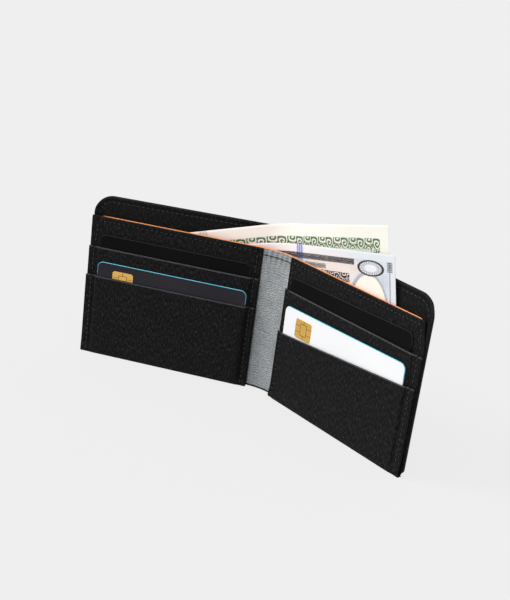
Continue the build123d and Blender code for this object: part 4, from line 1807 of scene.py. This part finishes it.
        # Worn colour with a painted highlight along the folded mouth.
        fold = smooth(height, self.upper_mouth - 0.95, self.upper_mouth - 0.45)
        thick = self.cloth - 0.04
        front, back = self.place(x, depth, height), self.place(x, depth + thick, height)
        # Painted shade at the seams, cut sides and creases beside the sewn strips.
        dark = np.clip(self.hollow_shade(x, height) + 0.35 * self.crease(x), 0, 1)
        piece = self.sheet(front, back, x, height, (fold, dark), "upper_pocket_cloth")
        nodes = (f"{self.side.label}_upper_pocket", f"{self.side.label}_upper_pocket_seam")
        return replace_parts(piece, *nodes)

    def lower_pocket(self) -> Piece:
        """Lower pocket, from its mouth down the front and round under the panel's bottom edge.

        Rows above 0 go up the front. Below 0 they go round a quarter circle and on along the bottom,
        so the cloth closes the foot of the card slots.
        """
        start, end = -0.2, self.width + 0.14
        top = max(self.lower_mouth)
        radius = self.foot_radius
        bend = radius * math.pi / 2
        foot = ((-bend - self.foot_turn, -bend, 0.5), (-bend, 0.0, 0.25))
        rows = lines(*foot, (0.0, top - 3.0, 0.5), (top - 3.0, top, 0.25))
        x, row = np.meshgrid(self.columns(start, end), rows)
        stretch = (self.mouth_height(x) - 0.25 - radius) / top
        height = radius + np.maximum(row, 0) * stretch
        face = self.lower_front(x, height)
        turn = np.clip(-row, 0, bend) / radius
        under = np.clip((-row - bend) / self.foot_turn, 0, 1)
        thick = self.cloth - 0.06
        reach = -0.08 - face - radius
        front_depth = face + radius * (1 - np.cos(turn)) + under * reach
        front_height = height - radius * np.sin(turn)
        tight = radius - thick
        turned = face + radius - tight * np.cos(turn) + under * reach
        back_depth = np.where(row < 0, turned, face + thick)
        back_height = height - tight * np.sin(turn)
        above = self.mouth_height(x) - height
        # Worn colour with a painted highlight along the mouth, and a faint one on the turn under the foot.
        fold = np.where(row > 0, smooth(above, 0.95, 0.3), 0.0)
        fold = np.maximum(fold, 0.2 * ridge(row, -bend / 2, 0.5))
        front = self.place(x, front_depth, front_height)
        back = self.place(x, back_depth, back_height)
        # Painted shade at the seams, cut sides and creases, and a painted shadow in the valley beside the
        # inner strip.
        dark = self.hollow_shade(x, height) + 0.5 * self.crease(x) + self.valley_shade(x, height)
        masks = (fold, np.clip(dark, 0, 1))
        piece = self.sheet(front, back, x, height + np.minimum(row, 0), masks, "lower_pocket_cloth")
        nodes = (f"{self.side.label}_lower_pocket", f"{self.side.label}_lower_pocket_seam")
        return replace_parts(piece, *nodes)

    def front_depth(self, x: Array, height: Array) -> Array:
        """Depth of whatever layer is in front at a place."""
        upper = (height > self.upper_floor - 2.0) & (height < self.upper_mouth)
        depth = np.where(upper, self.upper_front(x, height), self.base_front(x, height))
        return np.where(height < self.mouth_height(x), self.lower_front(x, height), depth)

    def thread(self, sewing: Sewing) -> Piece:
        """Thread down both sides and under the top edge, on whatever layer is in front."""
        outer, top = self.width - self.outer_stitch, self.height - self.top_stitch
        ways = (
            [[self.inner_stitch, 1.5], [self.inner_stitch, top - 1.5]],
            [[self.inner_stitch, top], [outer, top]],
            [[outer, top - 1.5], [outer, 1.5]],
        )
        rows = []
        for way in ways:
            starts, ends = stitch_ends(np.array(way))
            middle = (starts + ends) / 2
            low, high = np.minimum(starts, ends)[:, 1], np.maximum(starts, ends)[:, 1]
            clear = np.ones(len(middle), bool)
            for mouth in (self.upper_mouth, float(self.mouth_height(middle[0, 0]))):
                clear &= (low > mouth) | (high < mouth)
            sink = 0.13 if way[0][1] == way[1][1] else 0.02
            level = self.front_depth(middle[:, 0], middle[:, 1]) + sink
            for k in np.flatnonzero(clear):
                flat = functools.partial(self.flat_surface, depth=level[k])
                rows.append(sewing.row(flat, starts[k : k + 1], ends[k : k + 1], self.side.value))
        piece = Shell.joined(rows).piece(f"panel_thread_{self.side.label}", sewing.thread)
        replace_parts(piece, f"{self.side.label}_panel_stitching")
        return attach(piece, f"{self.side.label}_wing")

    def flat_surface(self, x: Array, height: Array, depth: float) -> Array:
        """Points of a flat layer of this wing at one depth."""
        return self.place(x, np.full_like(x, depth), height)

    def build(self, sewing: Sewing) -> list[Piece]:
        """All pieces of the panel."""
        return [self.base(), self.upper_pocket(), self.lower_pocket(), self.thread(sewing)]


# ------------ the spine
@dataclass
class Gusset(Part):
    """Grey cloth between the two card panels.

    Attributes:
        recess: of its face behind the panels' faces, mm.
        thickness: mm.
        bottom: height of its lower end, mm.
        top: height of its upper end, mm.
        stitch_height: height of its row of stitches, mm.
        pucker: from one pucker under that row to the next, mm.
    """

    recess: float = 0.22
    thickness: float = 0.34
    bottom: float = 0.95
    top: float = 79.9
    stitch_height: float = 76.4
    pucker: float = 3.1

    def front(self, run: Array, height: Array) -> Array:
        """Depth of the gusset's face: puckers hang below the row of stitches, and it bellies a little."""
        below = smooth(height, self.stitch_height - 16.0, self.stitch_height - 1.0)
        crown = smooth(height, self.top, self.stitch_height)
        pucker = 0.17 * np.cos(run * 2 * math.pi / self.pucker + 0.7) * below * crown
        furrow = 0.14 * ridge(height, self.stitch_height, 0.7)
        drape = 0.12 * ripple(run, height * 0.45, 7.0, 91)
        edge = smooth(np.abs(run), self.fold.front.half_arc, self.fold.front.half_arc - 2.0)
        return self.recess + (pucker + furrow + drape) * edge

    def cloth(self) -> Piece:
        """The gusset's cloth, bent round the fold's arc."""
        path = self.fold.front
        far = path.half_arc - 0.12
        foot = self.bottom + 1
        rows = lines((self.bottom, foot, 0.25), (foot, 60.0, 1.0), (60.0, self.top, 0.25))
        run, height = np.meshgrid(lines((-far, far, 0.36)), rows)
        front = self.front(run, height)
        # Painted shade: along the row of stitches, as a shadow at the left edge with a wider one beside it,
        # between the puckers and along the bottom.
        dark = 0.85 * ridge(height, self.stitch_height, 0.3) + 0.8 * smooth(run, 0.9 - far, 0.2 - far)
        pucker = 0.5 - 0.5 * np.cos(run * 2 * math.pi / self.pucker + 0.7 + math.pi)
        dark += 0.3 * pucker * smooth(height, self.stitch_height - 6.0, self.stitch_height - 0.5)
        dark += 0.10 * smooth(run, 3.0 - far, 0.5 - far)
        dark += 0.9 * smooth(height, self.bottom + 0.5, self.bottom)
        # Worn colour with a painted highlight along the right edge, fading out towards the top.
        rubbed_highlight = smooth(run, far - 0.7, far - 0.1) * smooth(height, self.top, 70.0)
        masks = {"fold": rubbed_highlight, "shade": np.clip(dark, 0, 1)}
        back = np.maximum(front, self.recess) + self.thickness - 0.12
        shell = path.layer(run, height, (front, back), masks, 0.08)
        piece = shell.piece("gusset_cloth", GREY_CLOTH)
        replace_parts(piece, "spine_gusset")
        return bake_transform(piece)

    def thread(self, sewing: Sewing) -> Piece:
        """Row of stitches across the top of the gusset."""
        path = self.fold.front

        def face(run: Array, height: Array) -> Array:
            """Points just under the gusset's face."""
            return path.place(run, np.full_like(run, self.recess + 0.1), height)

        far = path.half_arc - 0.3
        line = np.array([[-far, self.stitch_height], [far, self.stitch_height]])
        shell = sewing.row(face, *stitch_ends(line, gap=0.5), 1.0)
        piece = shell.piece("gusset_thread", DARK_THREAD)
        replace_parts(piece, "spine_gusset_stitching")
        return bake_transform(piece)

    def build(self, sewing: Sewing) -> list[Piece]:
        """All pieces of the spine."""
        return [self.cloth(), self.thread(sewing)]


# ------------ cards
@dataclass
class BankCard(Part):
    """A card in a pocket, with its contact plate if it shows.

    Attributes:
        side: which wing it is in.
        level: which pocket.
        finish: its material.
        slot_name: the record's material slot; not used.
        inner: from the panel's inner edge to the card, mm.
        lift: how far its outer end is turned up, degrees.
        width: mm.
        height: mm.
        thickness: mm.
        corner: radius, mm.
        bevel: of its edge, mm.
        chip: whether it has a contact plate.
        inner_rim: share of its edge colour on the side next to the spine.
    """

    side: Side
    level: Level
    finish: CardFinish
    slot_name: str
    inner: float
    lift: float
    width: float = 85.6
    height: float = 53.98
    thickness: float = 0.76
    corner: float = 3.18
    bevel: float = 0.16
    chip: bool = False
    inner_rim: float = 1.0

    @property
    def node(self) -> str:
        """Name of the card's CAD node."""
        return f"{self.side.label}_{self.level.label}_card"

    @property
    def foot(self) -> float:
        """Height of the card's bottom edge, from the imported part."""
        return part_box(self.node)[0].z / MM

    def place(self, along: Array, depth: Array, up: Array) -> Array:
        """Points of the card in the row frame, from its own inner bottom corner."""
        turn = math.radians(self.lift)
        x = self.inner + along * math.cos(turn) - up * math.sin(turn)
        height = self.foot + along * math.sin(turn) + up * math.cos(turn)
        path = self.fold.front
        return path.place(self.side.value * (path.half_arc + x), depth, height)

    def pattern(self, along: Array, up: Array) -> Array:
        """Place on the card's face as it is looked at, from its lower left corner."""
        seen = along if self.side is Side.RIGHT else self.width - along
        return np.stack([seen, up], axis=-1)

    def body(self) -> Piece:
        """The card: flat faces with a fine rounded edge."""
        bevel, face = self.bevel, self.level.value
        right, top = self.width - bevel, self.height - bevel
        cut = Outline(bevel, right, bevel, top, (self.corner - bevel,) * 4)
        near = lines((0.0, 0.6, 0.15), (0.6, 3.2, 0.5))
        across = np.concatenate([bevel + near, lines((4.0, 81.0, 5.0)), right - near[::-1]])
        rows = np.concatenate([bevel + near, lines((4.0, 49.8, 5.0)), top - near[::-1]])
        along, up = np.meshgrid(across[:: self.side.value], rows)
        inset = cut.inset(along, up)
        along, up = cut.round(along, up)
        shell = closed_sheet(
            self.place(along, np.full_like(along, face), up),
            self.place(along, np.full_like(along, face + self.thickness), up),
            self.pattern(along, up),
            {"rim": smooth(inset, 0.12, -0.05) * self.rim_share(along, up)},
            bevel,
            steps=6,
        )
        piece = shell.piece(f"card_{self.level.label}_{self.side.label}", self.finish)
        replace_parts(piece, self.node)
        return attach(piece, self.node)

    def rim_share(self, along: Array, up: Array) -> Array:
        """How much of the card's edge colour shows: it fades down both sides."""
        level = 0.25 + 0.75 * smooth(up, self.height - 12.0, self.height - 4.0)
        return np.where(along < 2.5, level * self.inner_rim, level)

    def contact_plate(self) -> Piece:
        """Contact plate with its isolating grooves.

        The grooves are where the distance to the plate's own pattern of lines is small: an inner
        rounded field, and lines from it to the plate's sides.
        """
        wide, high, corner = 12.0, 10.6, 1.6
        side_inset, top_inset, proud, deep = 9.0, 3.9, 0.05, 0.12
        seen_middle = side_inset + wide / 2
        middle = seen_middle if self.side is Side.RIGHT else self.width - seen_middle
        up_middle = self.height - top_inset - high / 2
        cut = Outline(-wide / 2, wide / 2, -high / 2, high / 2, (corner,) * 4)
        across = lines((cut.left, cut.right, 0.16))[:: self.side.value]
        a, b = np.meshgrid(across, lines((cut.bottom, cut.top, 0.16)))
        inset = cut.inset(a, b)
        a, b = cut.round(a, b)
        field_wide, field_high, line_level, none = 2.3, 3.1, 1.75, 9.0
        field_edge = np.maximum(np.abs(a) - field_wide, np.abs(b) - field_high)
        gaps = [np.abs(field_edge)]
        outside = np.where(field_edge > 0, 0.0, none)
        gaps += [np.abs(b - level) + outside for level in (-line_level, line_level)]
        gaps.append(np.abs(a) + np.where(np.abs(b) > field_high, 0.0, none))
        groove = smooth(np.minimum.reduce(gaps), 0.22, 0.08)
        face = self.level.value
        front = face - proud + 0.05 * groove
        shell = closed_sheet(
            self.place(middle + a, front, up_middle + b),
            self.place(middle + a, np.full_like(a, face + deep), up_middle + b),
            self.pattern(middle + a, up_middle + b),
            {"groove": groove, "rim": smooth(inset, 0.1, 0.0)},
            0.03,
            steps=3,
        )
        piece = shell.piece(f"contact_plate_{self.side.label}", CONTACTS)
        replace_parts(piece, f"{self.node}_chip")
        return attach(piece, self.node)

    def build(self) -> list[Piece]:
        """The card and what is on it."""
        return [self.body(), self.contact_plate()] if self.chip else [self.body()]


# ------------ notes
@dataclass
class Banknote(Part):
    """A banknote in the compartment, bent round the fold.

    Attributes:
        cover: the cover that it leans towards.
        name: "front_note" or "back_note".
        finish: its print.
        slot_name: the record's material slot; not used.
        centre: from the left panel's inner edge, along the unfolded wallet, mm.
        middle: height of its centre, mm.
        tilt: degrees.
        depth: of its face where the compartment is narrow, mm.
        lean: share of the mouth's opening that it takes up.
        curl: how far its free end curls forward, mm.
        thickness: mm.
        bend_radius: radius of its bend in the flat pattern, mm.
    """

    cover: CoverShell
    name: str
    finish: NoteFinish
    slot_name: str
    centre: float
    middle: float
    tilt: float
    depth: float
    lean: float
    curl: float
    thickness: float = 0.11
    bend_radius: float = 4.8

    def sheet(self) -> Piece:
        """The note as one thin sheet over the fold."""
        path = self.fold.front
        half_length, half_height = NOTE_HALF
        a, b = np.meshgrid(lines((-half_length, half_length, 0.75)), lines((-half_height, half_height, 1.1)))
        turn = math.radians(self.tilt)
        bend = self.fold.reach + self.bend_radius * self.fold.half_turn
        flat = self.centre + a * math.cos(turn) - b * math.sin(turn) - bend
        height = self.middle + a * math.sin(turn) + b * math.cos(turn)
        past = np.maximum(np.abs(flat) - bend, 0.0)
        run = np.where(past > 0, np.sign(flat) * (path.half_arc + past), flat * path.half_arc / bend)
        spread = self.cover.path.half_arc + self.cover.path.reach
        cover_run = np.where(past > 0, np.sign(flat) * (spread + past), flat * spread / bend)
        opening = self.cover.mouth(cover_run, np.minimum(height, 96.0)) - self.cover.seam_depth
        crinkle = 0.10 * ripple(a, b, 30.0, 101) * smooth(height, 60.0, 95.0)
        free = smooth(height, 78.0, 100.0) * smooth(a, 10.0, half_length)
        depth = self.depth + self.lean * opening + crinkle * np.minimum(opening, 1.0) - self.curl * free
        shell = closed_sheet(
            path.place(run, depth, height),
            path.place(run, depth + self.thickness, height),
            np.stack([a, b], axis=-1),
            {},
            0.03,
            steps=2,
        )
        piece = shell.piece(f"{self.name}_sheet", self.finish)
        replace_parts(piece, *(f"{self.name}_{part}" for part in ("left", "right", "bend")))
        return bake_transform(piece)

    def build(self) -> list[Piece]:
        """The note's only piece."""
        return [self.sheet()]


# ------------ studio
@dataclass(frozen=True)
class Sun:
    """A far soft light.

    Attributes:
        name: the light's name.
        direction: where it comes from.
        strength: W/m2.
        spread: its apparent size, degrees.
    """

    name: str
    direction: Triple
    strength: float
    spread: float

    def build(self) -> None:
        """Hangs the light up."""
        data = bpy.data.lights.new(self.name, "SUN")
        data.energy = self.strength
        data.angle = math.radians(self.spread)
        made = bpy.data.objects.new(self.name, data)
        made.rotation_mode = "QUATERNION"
        made.rotation_quaternion = Vector(self.direction).to_track_quat("Z", "Y")
        bpy.context.scene.collection.objects.link(made)


@dataclass
class Studio:
    """Floor, lights and camera.

    Attributes:
        target: point that the camera looks at, mm.
        distance: from the camera to it, mm.
        azimuth: of the camera, degrees from -Y towards +X.
        elevation: degrees above the horizon.
        roll: degrees that the camera's right side is turned up.
        lens: focal length, mm.
        floor_half: half the side of the floor, m.
        sky: strength of the even light from all round.
        suns: the lamps.
    """

    target: Triple = (-5.28, 3.21, 53.51)
    distance: float = 560.0
    azimuth: float = 29.95
    elevation: float = 20.19
    roll: float = 7.60
    lens: float = 63.39
    floor_half: float = 30.0
    sky: float = 0.855
    suns: tuple[Sun, ...] = (
        Sun("Key", (-0.78, -0.42, 0.60), 2.4, 24.0),
        Sun("Fill", (0.5, -0.8, 0.5), 0.35, 60.0),
    )

    def camera(self) -> Piece:
        """Camera on a sphere round the target."""
        turn, rise, roll = (math.radians(v) for v in (self.azimuth, self.elevation, self.roll))
        back = Vector((math.sin(turn) * math.cos(rise), -math.cos(turn) * math.cos(rise), math.sin(rise)))
        level = Vector((math.cos(turn), math.sin(turn), 0.0))
        upright = back.cross(level)
        right = level * math.cos(roll) + upright * math.sin(roll)
        up = back.cross(right)
        data = bpy.data.cameras.new("Camera")
        data.lens = self.lens
        data.clip_start, data.clip_end = 0.01, 100.0
        made = bpy.data.objects.new("Camera", data)
        axes = Matrix((right, up, back)).transposed().to_4x4()
        axes.translation = (Vector(self.target) + back * self.distance) * MM
        made.matrix_world = axes
        bpy.context.scene.collection.objects.link(made)
        bpy.context.scene.camera = made
        return made

    def floor(self) -> Piece:
        """A wide pale floor under the wallet."""
        half = self.floor_half
        mesh = bpy.data.meshes.new("floor")
        corners = [(-half, -half, 0), (half, -half, 0), (half, half, 0), (-half, half, 0)]
        mesh.from_pydata(corners, [], [(0, 1, 2, 3)])
        mesh.materials.append(FLOOR_PAINT.material())
        made = bpy.data.objects.new("floor", mesh)
        bpy.context.scene.collection.objects.link(made)
        return made

    def build(self) -> None:
        """Sets the studio up."""
        scene = bpy.context.scene
        scene.view_settings.view_transform = "Standard"
        world = bpy.data.worlds.new("Studio")
        world.use_nodes = True
        sky = world.node_tree.nodes["Background"]
        sky.inputs["Color"].default_value = (1.0, 1.0, 1.0, 1.0)
        sky.inputs["Strength"].default_value = self.sky
        scene.world = world
        for sun in self.suns:
            sun.build()
        self.floor()
        self.camera()


def main() -> None:
    """Builds the wallet's looks in order and reports each piece."""
    logging.basicConfig(level=logging.INFO, format="%(name)s: %(message)s")
    fold, sewing = Fold.from_frame(), Sewing()
    cover = CoverShell(fold)
    pieces = cover.build(sewing)
    pieces += Compartment(fold, cover).build()
    pieces += CardPanel(fold, Side.LEFT, (46.4, 46.4)).build(sewing)
    right = CardPanel(
        fold, Side.RIGHT, (38.8, 46.8), inner_stitch=1.8, inner_ramp=(2.2, 3.4), valley=0.25, taper=2.8
    )
    pieces += right.build(sewing)
    pieces += Gusset(fold).build(sewing)
    cards = (
        BankCard(fold, Side.LEFT, Level.UPPER, MATT_BLACK, "matt_black_card", 5.2, 0.0),
        BankCard(fold, Side.RIGHT, Level.UPPER, MATT_BLACK, "matt_black_card", 4.8, 1.4),
        BankCard(fold, Side.LEFT, Level.LOWER, CHARCOAL, "charcoal_card", 5.2, 0.0, chip=True),
        BankCard(fold, Side.RIGHT, Level.LOWER, WHITE, "white_card", 4.8, 1.0, chip=True, inner_rim=0.1),
    )
    notes = (
        Banknote(
            fold, cover, "front_note", FRONT_NOTE_PRINT, "blue_note_paper", 19.1, 52.85, 13.6, 1.4, 0.2, 0.5
        ),
        Banknote(
            fold, cover, "back_note", BACK_NOTE_PRINT, "green_note_paper", 12.9, 61.35, 16.5, 1.81, 0.5, 0.0
        ),
    )
    for thing in (*cards, *notes):
        pieces += thing.build()
    for piece in pieces:
        log.info("%s: %d faces", piece.name, len(piece.data.polygons))
    Studio().build()


if __name__ == "__main__":
    main()
